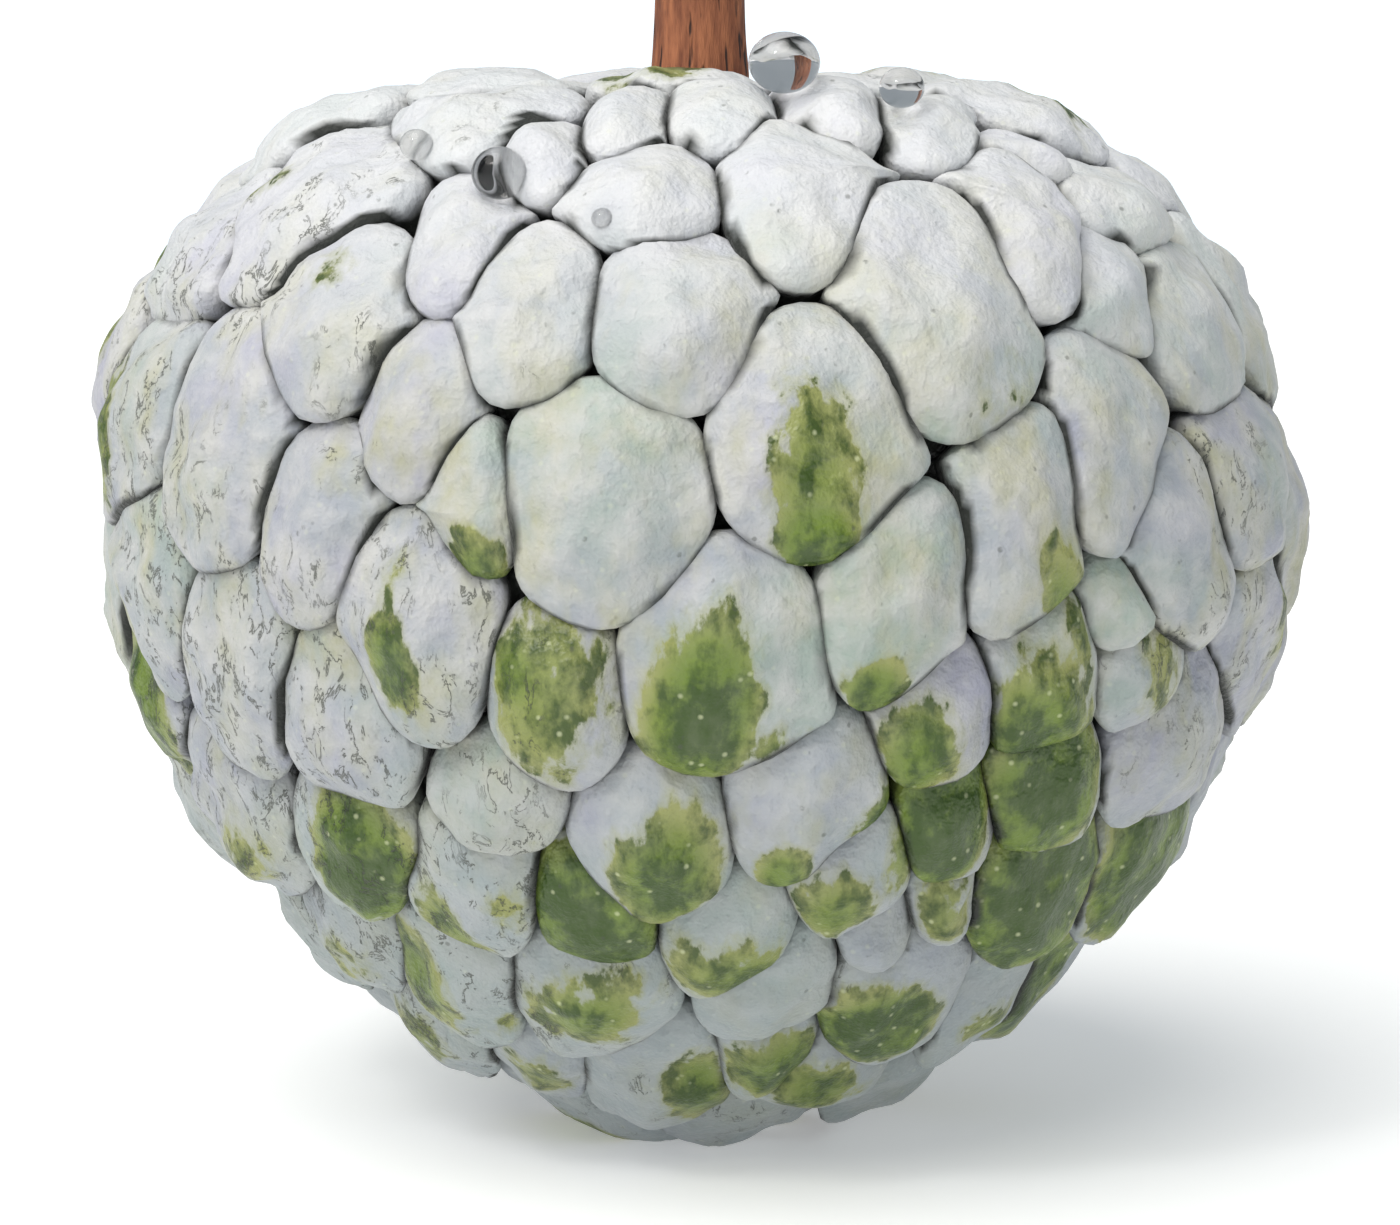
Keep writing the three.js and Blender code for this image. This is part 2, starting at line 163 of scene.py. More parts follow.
# Where handling has rubbed the bloom off, by the number of the tubercle in the list above
RUBBED: dict[int, list[Patch]] = {
    1: [(-5.0, 1.5, 3.0, 2.0, 0, 0.5)],
    12: [(0.0, 2.6, 2.0, 2.2, 0, 0.55)],
    15: [(3.5, -5.5, 3.0, 4.0, 10, 0.5)],
    20: [(-2.4, -2.0, 3.4, 5.5, 0, 0.95)],
    24: [(0.6, -4.4, 2.6, 3.2, 0, 0.9)],
    26: [(-0.6, -3.0, 3.4, 7.6, 4, 0.78), (-0.4, -6.6, 3.2, 3.8, 0, 1.05)],
    27: [(-1.6, -6.0, 2.6, 2.8, 0, 1.0), (-1.0, -8.8, 5.0, 1.9, 8, 1.0)],
    28: [(3.4, -5.6, 2.2, 5.2, -25, 0.85)],
    33: [(-1.5, -1.0, 2.0, 3.0, 0, 0.5)],
    34: [(0.0, 0.0, 5.0, 6.5, 0, 1.0)],
    37: [(-0.8, -1.0, 2.0, 3.6, 0, 0.95), (-0.6, 3.6, 0.9, 3.0, 10, 0.6)],
    38: [(-0.4, 1.6, 4.8, 6.6, 0, 0.72), (-2.2, 2.6, 2.6, 3.0, 0, 0.85)],
    39: [(-1.4, -2.6, 3.9, 7.0, 14, 1.1), (4.4, -5.8, 3.4, 3.0, 40, 0.75)],
    40: [(-1.6, -1.6, 2.8, 4.2, 0, 0.95)],
    41: [(-0.8, -2.8, 5.0, 5.4, 0, 0.95), (2.6, 4.0, 2.0, 3.8, -10, 0.7)],
    42: [(0.0, 0.0, 4.0, 3.0, 0, 0.55)],
    44: [(2.0, 2.0, 2.0, 4.0, 0, 0.7)],
    46: [(0.0, -2.0, 4.0, 3.0, 0, 0.6)],
    47: [(-1.0, 0.0, 3.0, 3.0, 0, 0.6)],
    48: [(1.6, -0.8, 4.2, 5.6, 0, 1.2)],
    49: [(-2.6, -2.8, 2.6, 4.0, -20, 0.8), (2.5, -1.0, 2.0, 2.5, 0, 0.55)],
    51: [(0.0, 0.0, 5.5, 6.5, -30, 1.1)],
    52: [(1.0, -1.2, 3.8, 5.0, 0, 1.0)],
    53: [(-1.2, -4.2, 2.0, 2.8, 0, 0.95), (5.4, -1.6, 2.2, 4.8, 15, 0.95)],
    54: [(-1.0, -1.6, 3.0, 3.4, 10, 0.85), (3.6, 2.4, 1.8, 3.4, 10, 0.8)],
    56: [(-1.2, 0.8, 3.8, 5.2, 0, 1.3)],
    57: [(-0.8, 0.5, 2.5, 3.5, 0, 0.7)],
    58: [(-1.2, 0.4, 5.2, 6.0, 0, 1.15)],
    59: [(-1.0, 0.2, 6.4, 6.6, 0, 1.3)],
    60: [(1.0, 0.6, 6.6, 6.6, 0, 1.3)],
    61: [(0.0, 0.0, 3.0, 3.4, 0, 0.7)],
    62: [(-2.4, 2.2, 3.2, 4.8, -20, 0.9), (2.5, -2.5, 2.5, 2.0, 0, 0.6)],
    63: [(0.0, 0.0, 3.0, 3.0, 0, 0.7)],
    64: [(0.4, 0.6, 4.8, 3.2, -10, 0.85)],
    65: [(3.6, 0.2, 2.6, 4.4, 0, 0.9)],
    66: [(0.2, -0.8, 5.2, 3.4, 0, 0.8)],
    68: [(0.6, 0.0, 4.0, 3.4, 0, 0.95)],
    69: [(0.0, 0.0, 4.0, 3.0, 0, 0.85)],
    70: [(-0.8, -0.8, 4.6, 4.2, 20, 1.2), (-4.6, -2.6, 2.4, 2.8, 0, 0.95)],
    71: [(0.0, -1.0, 3.5, 2.5, 0, 0.7)],
}

# How scratched a tubercle is, from 0 to 1, by its number; the others in front are hardly scratched
SCRATCHED = {
    0: 0.25, 1: 0.32, 11: 0.35, 12: 0.2, 20: 0.3, 21: 0.22, 22: 0.25, 23: 0.12, 25: 0.12, 29: 0.2,
    30: 0.32, 31: 0.25, 32: 0.32, 33: 0.38, 34: 0.4, 35: 0.4, 36: 0.38, 37: 0.28, 38: 0.25, 40: 0.2,
    42: 0.3, 43: 0.3, 44: 0.36, 45: 0.35, 46: 0.38, 47: 0.38, 48: 0.34, 49: 0.36, 50: 0.25, 51: 0.2,
    61: 0.35, 62: 0.3, 64: 0.25, 65: 0.22, 66: 0.2, 70: 0.22,
}
HARDLY_SCRATCHED = 0.08
MOST_SCRATCHED_BEHIND = 0.3


def linear(hex_colour: str) -> tuple[float, float, float, float]:
    """Turns an sRGB hex colour to linear light.

    Args:
        hex_colour: six hex digits with a leading hash.

    Returns:
        Red, green, blue and an alpha of one.
    """
    parts = [int(hex_colour[i : i + 2], 16) / 255 for i in (1, 3, 5)]
    red, green, blue = [c / 12.92 if c <= 0.04045 else ((c + 0.055) / 1.055) ** 2.4 for c in parts]
    return red, green, blue, 1.0


def smooth(low: float, high: float, value: np.ndarray) -> np.ndarray:
    """Rises smoothly from 0 at low to 1 at high.

    Args:
        low: where the rise starts.
        high: where it ends.
        value: the numbers to look up.

    Returns:
        An array of shares from 0 to 1.
    """
    share = np.clip((value - low) / (high - low), 0, 1)
    return share * share * (3 - 2 * share)


def between(least: float, most: float, chance: float) -> float:
    """Returns the number that lies a share of the way from the least to the most."""
    return least + (most - least) * chance


def unit(vectors: np.ndarray) -> np.ndarray:
    """Returns the vectors, one a row, at length one."""
    return vectors / np.linalg.norm(vectors, axis=-1, keepdims=True)


def direction(longitude: float, latitude: float) -> np.ndarray:
    """Returns the unit direction of a longitude and a latitude in degrees."""
    lon, lat = math.radians(longitude), math.radians(latitude)
    return np.array([math.cos(lat) * math.sin(lon), -math.cos(lat) * math.cos(lon), math.sin(lat)])


def span(low: float, high: float, least: float = 0.0, most: float = 1.0) -> dict[str, float]:
    """Returns a range node's inputs for a value that goes from least at low to most at high."""
    return {"From Min": low, "From Max": high, "To Min": least, "To Max": most}


def feed(tree: bpy.types.NodeTree, node: bpy.types.Node, inputs: dict[int | str, object]) -> None:
    """Sets a node's inputs.

    Args:
        tree: the node tree.
        node: the node.
        inputs: by the input's name or number, a value, a socket, or a node that gives its first output.
    """
    for name, value in inputs.items():
        source = value.outputs[0] if isinstance(value, bpy.types.Node) else value
        if isinstance(source, bpy.types.NodeSocket):
            tree.links.new(source, node.inputs[name])
        else:
            node.inputs[name].default_value = source


def add_node(
    tree: bpy.types.NodeTree,
    kind: str,
    settings: dict[str, object] | None = None,
    inputs: dict[int | str, object] | None = None,
) -> bpy.types.Node:
    """Adds a shader node with its settings and links.

    Args:
        tree: the node tree.
        kind: the node's type, without its ShaderNode beginning.
        settings: the node's own settings by name.
        inputs: what goes into it, as feed takes it.

    Returns:
        The node.
    """
    made = tree.nodes.new("ShaderNode" + kind)
    for name, value in (settings or {}).items():
        setattr(made, name, value)
    feed(tree, made, inputs or {})
    return made


def new_material(name: str) -> tuple[bpy.types.Material, bpy.types.NodeTree, bpy.types.Node]:
    """Starts a material.

    Args:
        name: the material's name.

    Returns:
        The material, its emptied node tree and its surface shader.
    """
    made = bpy.data.materials.new(name)
    made.use_nodes = True
    tree = made.node_tree
    tree.nodes.clear()
    shader = add_node(tree, "BsdfPrincipled")
    add_node(tree, "OutputMaterial", inputs={"Surface": shader})
    return made, tree, shader


@dataclass(frozen=True)
class Layer:
    """A colour laid over others: by which value, from least at low to most at high."""

    value: Shade
    low: float
    high: float
    colour: str
    least: float = 0.0
    most: float = 1.0
    settings: dict[str, str] = field(default_factory=dict)


def painted(tree: bpy.types.NodeTree, base: str, layers: tuple[Layer, ...]) -> bpy.types.NodeSocket:
    """Lays colours over one another.

    Args:
        tree: the material's node tree.
        base: the lowest colour, as sRGB hex.
        layers: what lies over it, lowest first.

    Returns:
        The colour that shows.
    """
    colour = linear(base)
    for layer in layers:
        reach = span(layer.low, layer.high, layer.least, layer.most)
        share = add_node(tree, "MapRange", layer.settings, {"Value": layer.value, **reach})
        mixed = add_node(tree, "Mix", BLEND, {0: share, 6: colour, 7: linear(layer.colour)})
        colour = mixed.outputs[2]
    return colour


@dataclass(frozen=True)
class WaxySkin:
    """The fruit's rind: green, under a pale wax bloom that handling rubs off. Lengths in mm.

    The bloom is chalky: it scatters light, hides the green and has only a faint sheen. The bare rind is
    smoother and shines a little, and its deep green shows how far it is rubbed.
    """

    name: str = "waxy_bloom_on_green_rind"
    bloom_pale: str = "#bdbcba"
    bloom_lavender: str = "#9a9aaa"
    bloom_mint: str = "#94a298"
    bloom_cream: str = "#a5a489"
    # The bloom is laid darker towards the bottom and paler towards the top, by latitude
    bloom_bottom_darker: str = "#8f989b"
    bloom_top_paler: str = "#e4e4e8"
    rind_dull: str = "#8f9257"
    rind_fresh: str = "#5f7612"
    rind_deep: str = "#213c04"
    lenticel: str = "#dfe3b8"
    scar: str = "#3f4339"
    # Painted shade: near black laid along the grooves, where shade falls between the tubercles
    groove: str = "#11160f"
    # Sizes of the patterns; wax grains are finer than can be seen, so their noise is drawn coarser
    ragged_mm: float = 1.5
    torn_mm: float = 5.0
    tint_mm: float = 14.0
    cloud_mm: float = 3.2
    grain_mm: float = 0.55
    scribble_mm: float = 1.9
    upright_stretch: float = 0.55
    speck_mm: float = 1.2
    lenticel_mm: float = 1.5
    # How the bloom ends: how far two noises tear its edge, and how much more of it a rim keeps
    torn_reach: float = 1.1
    ragged_reach: float = 0.9
    rim_mm: tuple[float, float] = (0.2, 0.8)
    rim_kept: float = 0.12
    bare_edge: tuple[float, float] = (0.47, 0.56)
    halo_edge: tuple[float, float] = (0.28, 0.52)
    halo_share: float = 0.4
    least_shown: float = 0.88
    tone_reach: float = 0.3
    # Scratches run where a noise is within a hair of its middle
    scratch_edge: tuple[float, float] = (0.006, 0.022)
    scar_share: float = 0.75
    pore_share: float = 0.4
    pore_on_bloom: float = 0.35
    bloom_roughness: float = 0.62
    rind_roughness: float = 0.4
    sheen: float = 0.15
    sheen_roughness: float = 0.5

    def make(self) -> bpy.types.Material:
        """Returns the material, which reads object coordinates and the skin's own values."""
        material, tree, shader = new_material(self.name)
        read = self.readings(tree)
        self.find_bare(tree, read)
        self.find_scratches(tree, read)
        skin = self.bloom(tree, read)
        for share, colour in (
            (read["halo"], linear(self.rind_dull)),
            (read["shown"], self.rind(tree, read)),
            (self.pores(tree, read), linear(self.lenticel)),
            (self.scars(tree, read), linear(self.scar)),
            # Painted shade: the skin next to the grooves is darkened to near black
            (read["groove"], linear(self.groove)),
        ):
            skin = add_node(tree, "Mix", BLEND, {0: share, 6: skin, 7: colour}).outputs[2]
        surface = {"Base Color": skin, "Normal": self.relief(tree, read)}
        for name, on_bloom, on_rind in (
            ("Roughness", self.bloom_roughness, self.rind_roughness),
            ("Sheen Weight", self.sheen, 0.0),
        ):
            levels = {"To Min": on_bloom, "To Max": on_rind}
            surface[name] = add_node(tree, "MapRange", None, {"Value": read["bare"], **levels})
        surface["Sheen Roughness"] = self.sheen_roughness
        feed(tree, shader, surface)
        return material

    def readings(self, tree: bpy.types.NodeTree) -> dict[str, Shade]:
        """Returns the skin's own values and the noises, by name."""
        place = add_node(tree, "TexCoord").outputs["Object"]
        stretched = {"Vector": place, "Scale": (1.0, 1.0, self.upright_stretch)}
        upright = add_node(tree, "Mapping", None, stretched)
        read = {}
        # groove holds where shade is painted along the grooves
        for name in ("rim_mm", "groove", "tone", "rubbed", "marks", "thin", "thick"):
            read[name] = add_node(tree, "Attribute", {"attribute_name": name}).outputs["Fac"]
        for name, source, length, detail, roughness, distortion in (
            ("ragged", upright, self.ragged_mm, 5, 0.6, 0.0),
            ("torn", upright, self.torn_mm, 3, 0.6, 0.0),
            ("tint", place, self.tint_mm, 2, 0.6, 0.0),
            ("cloud", place, self.cloud_mm, 4, 0.6, 0.0),
            ("grain", place, self.grain_mm, 3, 0.6, 0.0),
            ("wander", upright, self.scribble_mm, 5, 0.65, 0.6),
        ):
            shape = {"Detail": detail, "Roughness": roughness, "Distortion": distortion}
            scaled = {"Vector": source, "Scale": 1 / (length * MM), **shape}
            read[name] = add_node(tree, "TexNoise", None, scaled).outputs["Fac"]
        for name, length in (("pores", self.lenticel_mm), ("specks", self.speck_mm)):
            scaled = {"Vector": place, "Scale": 1 / (length * MM)}
            read[name] = add_node(tree, "TexVoronoi", None, scaled).outputs["Distance"]
        return read

    def find_bare(self, tree: bpy.types.NodeTree, read: dict[str, Shade]) -> None:
        """Finds where the rind shows: in the rubbed patches, whose edges two sizes of noise tear.

        Args:
            tree: the material's node tree.
            read: what is known so far, to which bare, halo and shown are added.
        """
        # The noises lie round a half, which is taken off again
        level = -0.5 * (self.torn_reach + self.ragged_reach)
        kept = span(*self.rim_mm, level - self.rim_kept, level)
        bareness = add_node(tree, "MapRange", SMOOTH, {"Value": read["rim_mm"], **kept})
        for name, reach in (("rubbed", 1.0), ("torn", self.torn_reach), ("ragged", self.ragged_reach)):
            bareness = add_node(tree, "Math", TIMES_PLUS, {0: read[name], 1: reach, 2: bareness})
        for name, (low, high), most in (
            ("bare", self.bare_edge, 1.0),
            ("halo", self.halo_edge, self.halo_share),
        ):
            read[name] = add_node(tree, "MapRange", SMOOTH, {"Value": bareness, **span(low, high, 0.0, most)})
        # A thin haze of bloom stays on the rind where a noise is low
        haze = span(0.35, 0.6, self.least_shown, 1.0)
        clear = add_node(tree, "MapRange", None, {"Value": read["ragged"], **haze})
        read["shown"] = add_node(tree, "Math", TIMES, {0: read["bare"], 1: clear})

    def bloom(self, tree: bpy.types.NodeTree, read: dict[str, Shade]) -> bpy.types.NodeSocket:
        """Returns the bloom's colour: tints in patches, paler on the shoulders and darker below."""
        tint = add_node(tree, "Math", TIMES_PLUS, {0: read["tone"], 1: self.tone_reach, 2: read["tint"]})
        layers = (
            Layer(tint, 0.48, 0.82, self.bloom_mint),
            Layer(read["torn"], 0.45, 0.64, self.bloom_cream, most=0.95),
            Layer(read["cloud"], 0.38, 0.68, self.bloom_pale, most=0.75),
            # By latitude: paler towards the top and darker towards the bottom
            Layer(read["thick"], 0.0, 1.0, self.bloom_top_paler, most=0.65),
            Layer(read["thin"], 0.0, 1.0, self.bloom_bottom_darker, most=0.7),
        )
        return painted(tree, self.bloom_lavender, layers)

    def rind(self, tree: bpy.types.NodeTree, read: dict[str, Shade]) -> bpy.types.NodeSocket:
        """Returns the rind's colour: dull where half rubbed, and deep in blotches where barest."""
        barest = add_node(tree, "MapRange", None, {"Value": read["rubbed"], **span(0.75, 1.15, 0.0, 0.22)})
        blotch = add_node(tree, "Math", PLUS, {0: read["cloud"], 1: read["ragged"]})
        blotch = add_node(tree, "Math", PLUS, {0: blotch, 1: barest})
        layers = (
            Layer(read["rubbed"], 0.45, 0.95, self.rind_fresh, settings=SMOOTH),
            Layer(blotch, 0.93, 1.17, self.rind_deep, most=0.85),
        )
        return painted(tree, self.rind_dull, layers)

    def pores(self, tree: bpy.types.NodeTree, read: dict[str, Shade]) -> bpy.types.Node:
        """Returns where the pale pores show, each about a third of a millimetre wide."""
        ends = span(0.06, 0.16, self.pore_share, 0.0)
        pores = add_node(tree, "MapRange", None, {"Value": read["pores"], **ends})
        levels = span(0.0, 1.0, self.pore_on_bloom, 1.0)
        seen = add_node(tree, "MapRange", None, {"Value": read["shown"], **levels})
        return add_node(tree, "Math", TIMES, {0: pores, 1: seen})

    def find_scratches(self, tree: bpy.types.NodeTree, read: dict[str, Shade]) -> None:
        """Finds the fine scratches: the level lines of a noise, broken up, where the marks are.

        Args:
            tree: the material's node tree.
            read: what is known so far, to which scratches is added.
        """
        off_line = add_node(tree, "Math", {"operation": "SUBTRACT"}, {0: read["wander"], 1: 0.5})
        off_line = add_node(tree, "Math", {"operation": "ABSOLUTE"}, {0: off_line})
        marked = add_node(tree, "Math", PLUS, {0: read["torn"], 1: read["marks"]})
        scratches = 1.0
        for value, reach in (
            (off_line, span(*self.scratch_edge, 1.0, 0.0)),
            (marked, span(0.76, 0.92)),
            (read["ragged"], span(0.49, 0.53)),
        ):
            share = add_node(tree, "MapRange", SMOOTH, {"Value": value, **reach})
            scratches = add_node(tree, "Math", TIMES, {0: share, 1: scratches})
        read["scratches"] = scratches

    def scars(self, tree: bpy.types.NodeTree, read: dict[str, Shade]) -> bpy.types.Node:
        """Returns where the skin is dark: in the scratches and in a few specks."""
        scar = self.scar_share
        for value, reach in (
            (read["specks"], span(0.1, 0.2, 1.0, 0.0)),
            (read["ragged"], span(0.56, 0.62, 0.0, 0.7)),
        ):
            share = add_node(tree, "MapRange", None, {"Value": value, **reach})
            scar = add_node(tree, "Math", TIMES, {0: share, 1: scar})
        scratches = add_node(tree, "Math", TIMES, {0: read["scratches"], 1: self.scar_share})
        return add_node(tree, "Math", {"operation": "MAXIMUM"}, {0: scratches, 1: scar})

    def relief(self, tree: bpy.types.NodeTree, read: dict[str, Shade]) -> bpy.types.Node:
        """Returns the small relief: bumps, grain, the step at the bloom's edge and the scratches."""
        height = 0.0
        for name, rise_mm in (
            ("cloud", 0.8),
            ("ragged", 0.2),
            ("grain", 0.04),
            ("bare", -0.04),
            ("scratches", -0.06),
        ):
            height = add_node(tree, "Math", TIMES_PLUS, {0: read[name], 1: rise_mm, 2: height})
        return add_node(tree, "Bump", None, {"Height": height, "Distance": MM})


@dataclass(frozen=True)
class DryBark:
    """The stalk's bark: brown and dried, matt, with dark flecks along it. Lengths in mm."""

    name: str = "dry_bark"
    bark_light: str = "#ad6c48"
    bark_dark: str = "#6f3c26"
    fleck: str = "#331a12"
    streak_mm: float = 0.9
    fleck_mm: float = 0.6
    stretch: float = 0.16
    roughness: float = 0.75
    fleck_sink: float = 0.3
    relief_mm: float = 0.5
    relief_strength: float = 0.8

    def make(self) -> bpy.types.Material:
        """Returns the material, which reads object coordinates stretched along the stalk."""
        material, tree, shader = new_material(self.name)
        place = add_node(tree, "TexCoord").outputs["Object"]
        along = add_node(tree, "Mapping", None, {"Vector": place, "Scale": (1.0, 1.0, self.stretch)})
        noises = []
        for length, detail, roughness in ((self.streak_mm, 4, 0.65), (self.fleck_mm, 2, 0.5)):
            scaled = {"Vector": along, "Scale": 1 / (length * MM), "Detail": detail, "Roughness": roughness}
            noises.append(add_node(tree, "TexNoise", None, scaled).outputs["Fac"])
        streak, flecks = noises
        layers = (
            Layer(streak, 0.35, 0.65, self.bark_light),
            Layer(flecks, 0.6, 0.66, self.fleck),
        )
        sunk = add_node(tree, "MapRange", None, {"Value": flecks, **span(0.6, 0.66, 0.0, -self.fleck_sink)})
        height = add_node(tree, "Math", PLUS, {0: sunk, 1: streak})
        depth = {"Distance": self.relief_mm * MM, "Strength": self.relief_strength}
        bump = add_node(tree, "Bump", None, {"Height": height, **depth})
        bark = painted(tree, self.bark_dark, layers)
        feed(tree, shader, {"Base Color": bark, "Roughness": self.roughness, "Normal": bump})
        return material


@dataclass(frozen=True)
class CutWood:
    """The stalk's cut end: pale dried wood in rings round a dark pith, dull as a sawn end. Lengths in mm."""

    name: str = "cut_wood"
    wood: str = "#b08a62"
    ring: str = "#8a6240"
    pith: str = "#4a2f1e"
    ring_mm: float = 0.7
    pith_mm: float = 0.7
    pith_share: float = 0.85
    roughness: float = 0.85
    relief_mm: float = 0.1

    def make(self) -> bpy.types.Material:
        """Returns the material, whose rings run round the stalk's axis."""
        material, tree, shader = new_material(self.name)
        place = add_node(tree, "TexCoord").outputs["Object"]
        flat = add_node(tree, "Mapping", None, {"Vector": place, "Scale": (1.0, 1.0, 0.0)})
        wave = {"Scale": 1 / (2 * self.ring_mm * MM), "Distortion": 1.2, "Detail": 3}
        round_axis = {"wave_type": "RINGS", "rings_direction": "SPHERICAL"}
        rings = add_node(tree, "TexWave", round_axis, {"Vector": flat, **wave}).outputs["Fac"]
        out = add_node(tree, "VectorMath", {"operation": "LENGTH"}, {0: flat}).outputs["Value"]
        inner, outer = 0.5 * self.pith_mm * MM, self.pith_mm * MM
        layers = (
            Layer(rings, 0.0, 1.0, self.wood),
            Layer(out, inner, outer, self.pith, least=self.pith_share, most=0.0, settings=SMOOTH),
        )
        bump = add_node(tree, "Bump", None, {"Height": rings, "Distance": self.relief_mm * MM})
        wood = painted(tree, self.ring, layers)
        feed(tree, shader, {"Base Color": wood, "Roughness": self.roughness, "Normal": bump})
        return material


@dataclass(frozen=True)
class ClearWater:
    """Water: clear, smooth and bending light as water does, so each bead shows what is behind it."""

    name: str = "clear_water"
    ior: float = 1.33

    def make(self) -> bpy.types.Material:
        """Returns the material."""
        material, tree, shader = new_material(self.name)
        feed(tree, shader, {"Roughness": 0.0, "IOR": self.ior, "Transmission Weight": 1.0})
        return material


@dataclass(frozen=True)
class PalePaper:
    """The studio's paper: matt, nearly white, and glowing a little so that shadows stay pale."""

    name: str = "seamless_paper"
    colour: str = "#f4f4f4"
    roughness: float = 0.9
    glow: float = 0.3

    def make(self) -> bpy.types.Material:
        """Returns the material."""
        material, tree, shader = new_material(self.name)
        colour = linear(self.colour)
        feed(tree, shader, {"Base Color": colour, "Roughness": self.roughness})
        feed(tree, shader, {"Emission Color": colour, "Emission Strength": self.glow})
        return material


@dataclass(frozen=True)
class FruitBody:
    """The solid of revolution that the tubercle tops touch, with its middle at the origin."""

    radius: float = 42.3
    half_height: float = 43.2
    taper: float = 0.22
    shoulder: float = -0.037
    squareness: float = 1.4
    hollow_depth: float = 7.2
    hollow_width_deg: float = 24.0
    centre_above_rest: float = 40.4
    # Angles, in radians: what slopes are taken over, and how near a pole they are still taken
    step: float = 1e-3
    pole: float = 0.02
    tip: float = 1e-6

    def profile(self, polar: np.ndarray) -> tuple[np.ndarray, np.ndarray]:
        """Returns the body's radius and height at polar angles from the top, in radians."""
        radius = self.radius * np.sin(polar)
        radius = radius * (1 + self.taper * np.cos(polar) + self.shoulder * np.cos(2 * polar))
        hollow = self.hollow_depth * np.exp(-((polar / math.radians(self.hollow_width_deg)) ** 2))
        height = self.half_height * np.cos(polar) + self.squareness * np.cos(2 * polar) - hollow
        return radius, height

    def skin(self, towards: np.ndarray, height: np.ndarray) -> np.ndarray:
        """Finds points above the body's surface.

        Args:
            towards: unit directions, one a row.
            height: how far above the surface each point lies.

        Returns:
            The points, one a row.
        """
        polar = np.arccos(np.clip(towards[:, 2], -1, 1))
        longitude = np.arctan2(towards[:, 0], -towards[:, 1])
        low_radius, low_height = self.profile(polar + self.step)
        high_radius, high_height = self.profile(np.maximum(polar - self.step, self.tip))
        slope = unit(np.stack([low_radius - high_radius, low_height - high_height], axis=1))
        radius, rise = self.profile(polar)
        radius = radius - slope[:, 1] * height
        rise = rise + slope[:, 0] * height
        return np.stack([radius * np.sin(longitude), -radius * np.cos(longitude), rise], axis=1)

    def scale(self, towards: np.ndarray) -> tuple[float, float]:
        """Returns the millimetres of surface per unit of direction, to the east and to the north."""
        polar = math.acos(max(-1.0, min(1.0, towards[2])))
        polar = min(max(polar, self.pole), math.pi - self.pole)
        radius, height = self.profile(np.array([polar, polar + self.step]))
        north = math.hypot(radius[1] - radius[0], height[1] - height[0]) / self.step
        return float(radius[0]) / math.sin(polar), north


BODY = FruitBody()


@dataclass
class Tubercle:
    """One segment of the fruit: where it grows, its half sizes and its lean."""

    centre: np.ndarray
    half_width: float
    half_height: float
    lean_deg: float
    outline_power: float = 2.3
    lift_per_mm: float = 0.09
    usual_size: float = 13.5
    most_lift: float = 0.7
    sag: float = 1.6
    tilt: float = 0.35
    tilt_below: float = 0.9
    # Heights of the unit direction between which the tilt goes over to the one below
    below_from: tuple[float, float] = (0.1, -0.35)
    east: np.ndarray = field(init=False)
    north: np.ndarray = field(init=False)
    east_mm: float = field(init=False)
    north_mm: float = field(init=False)
    lift: float = field(init=False)
    cos: float = field(init=False)
    sin: float = field(init=False)

    def __post_init__(self) -> None:
        """Works out the tangent plane that the sizes are measured in."""
        self.east = unit(np.array([-self.centre[1], self.centre[0], 0.0]))
        self.north = np.cross(self.centre, self.east)
        self.east_mm, self.north_mm = BODY.scale(self.centre)
        lift = self.lift_per_mm * (self.half_width + self.half_height - self.usual_size)
        self.lift = max(-self.most_lift, min(self.most_lift, lift))
        self.tilt += (self.tilt_below - self.tilt) * float(smooth(*self.below_from, self.centre[2]))
        self.cos = math.cos(math.radians(self.lean_deg))
        self.sin = math.sin(math.radians(self.lean_deg))

    def plane(self, towards: np.ndarray) -> np.ndarray:
        """Returns where directions lie in the tangent plane, in mm to the right and up, one a row."""
        facing = towards @ self.centre
        right = (towards @ self.east) / facing * self.east_mm
        up = (towards @ self.north) / facing * self.north_mm
        return np.stack([right, up], axis=-1)

    def own_axes(self, place: np.ndarray) -> np.ndarray:
        """Returns places of the tangent plane as shares across and along the leaning oval."""
        right, up = place[..., 0], place[..., 1]
        across = (right * self.cos - up * self.sin) / self.half_width
        along = (right * self.sin + up * self.cos) / self.half_height
        return np.stack([across, along], axis=-1)

    def share(self, towards: np.ndarray) -> float:
        """Returns how far out a direction lies, as a share of the way to the oval."""
        across, along = np.abs(self.own_axes(self.plane(towards)))
        return (across**self.outline_power + along**self.outline_power) ** (1 / self.outline_power)

    def top(self, place: np.ndarray, depth: np.ndarray) -> np.ndarray:
        """Finds points of the tubercle's top.

        Args:
            place: places of the tangent plane in mm, one a row.
            depth: how far below the top each point lies.

        Returns:
            The points, one a row.
        """
        right, up = place[:, 0], place[:, 1]
        towards = (
            self.centre
            + np.outer(right / self.east_mm, self.east)
            + np.outer((up - self.sag) / self.north_mm, self.north)
        )
        return BODY.skin(unit(towards), self.lift - self.tilt * up / self.half_height - depth)


@dataclass
class RandomNumbers:
    """Seeded random numbers from 0 to 1, as the solid draws them."""

    state: int = 41
    factor: int = 1664525
    addend: int = 1013904223
    modulus: int = 4294967296

    def draw(self) -> float:
        """Returns the next number."""
        self.state = (self.state * self.factor + self.addend) % self.modulus
        return self.state / self.modulus


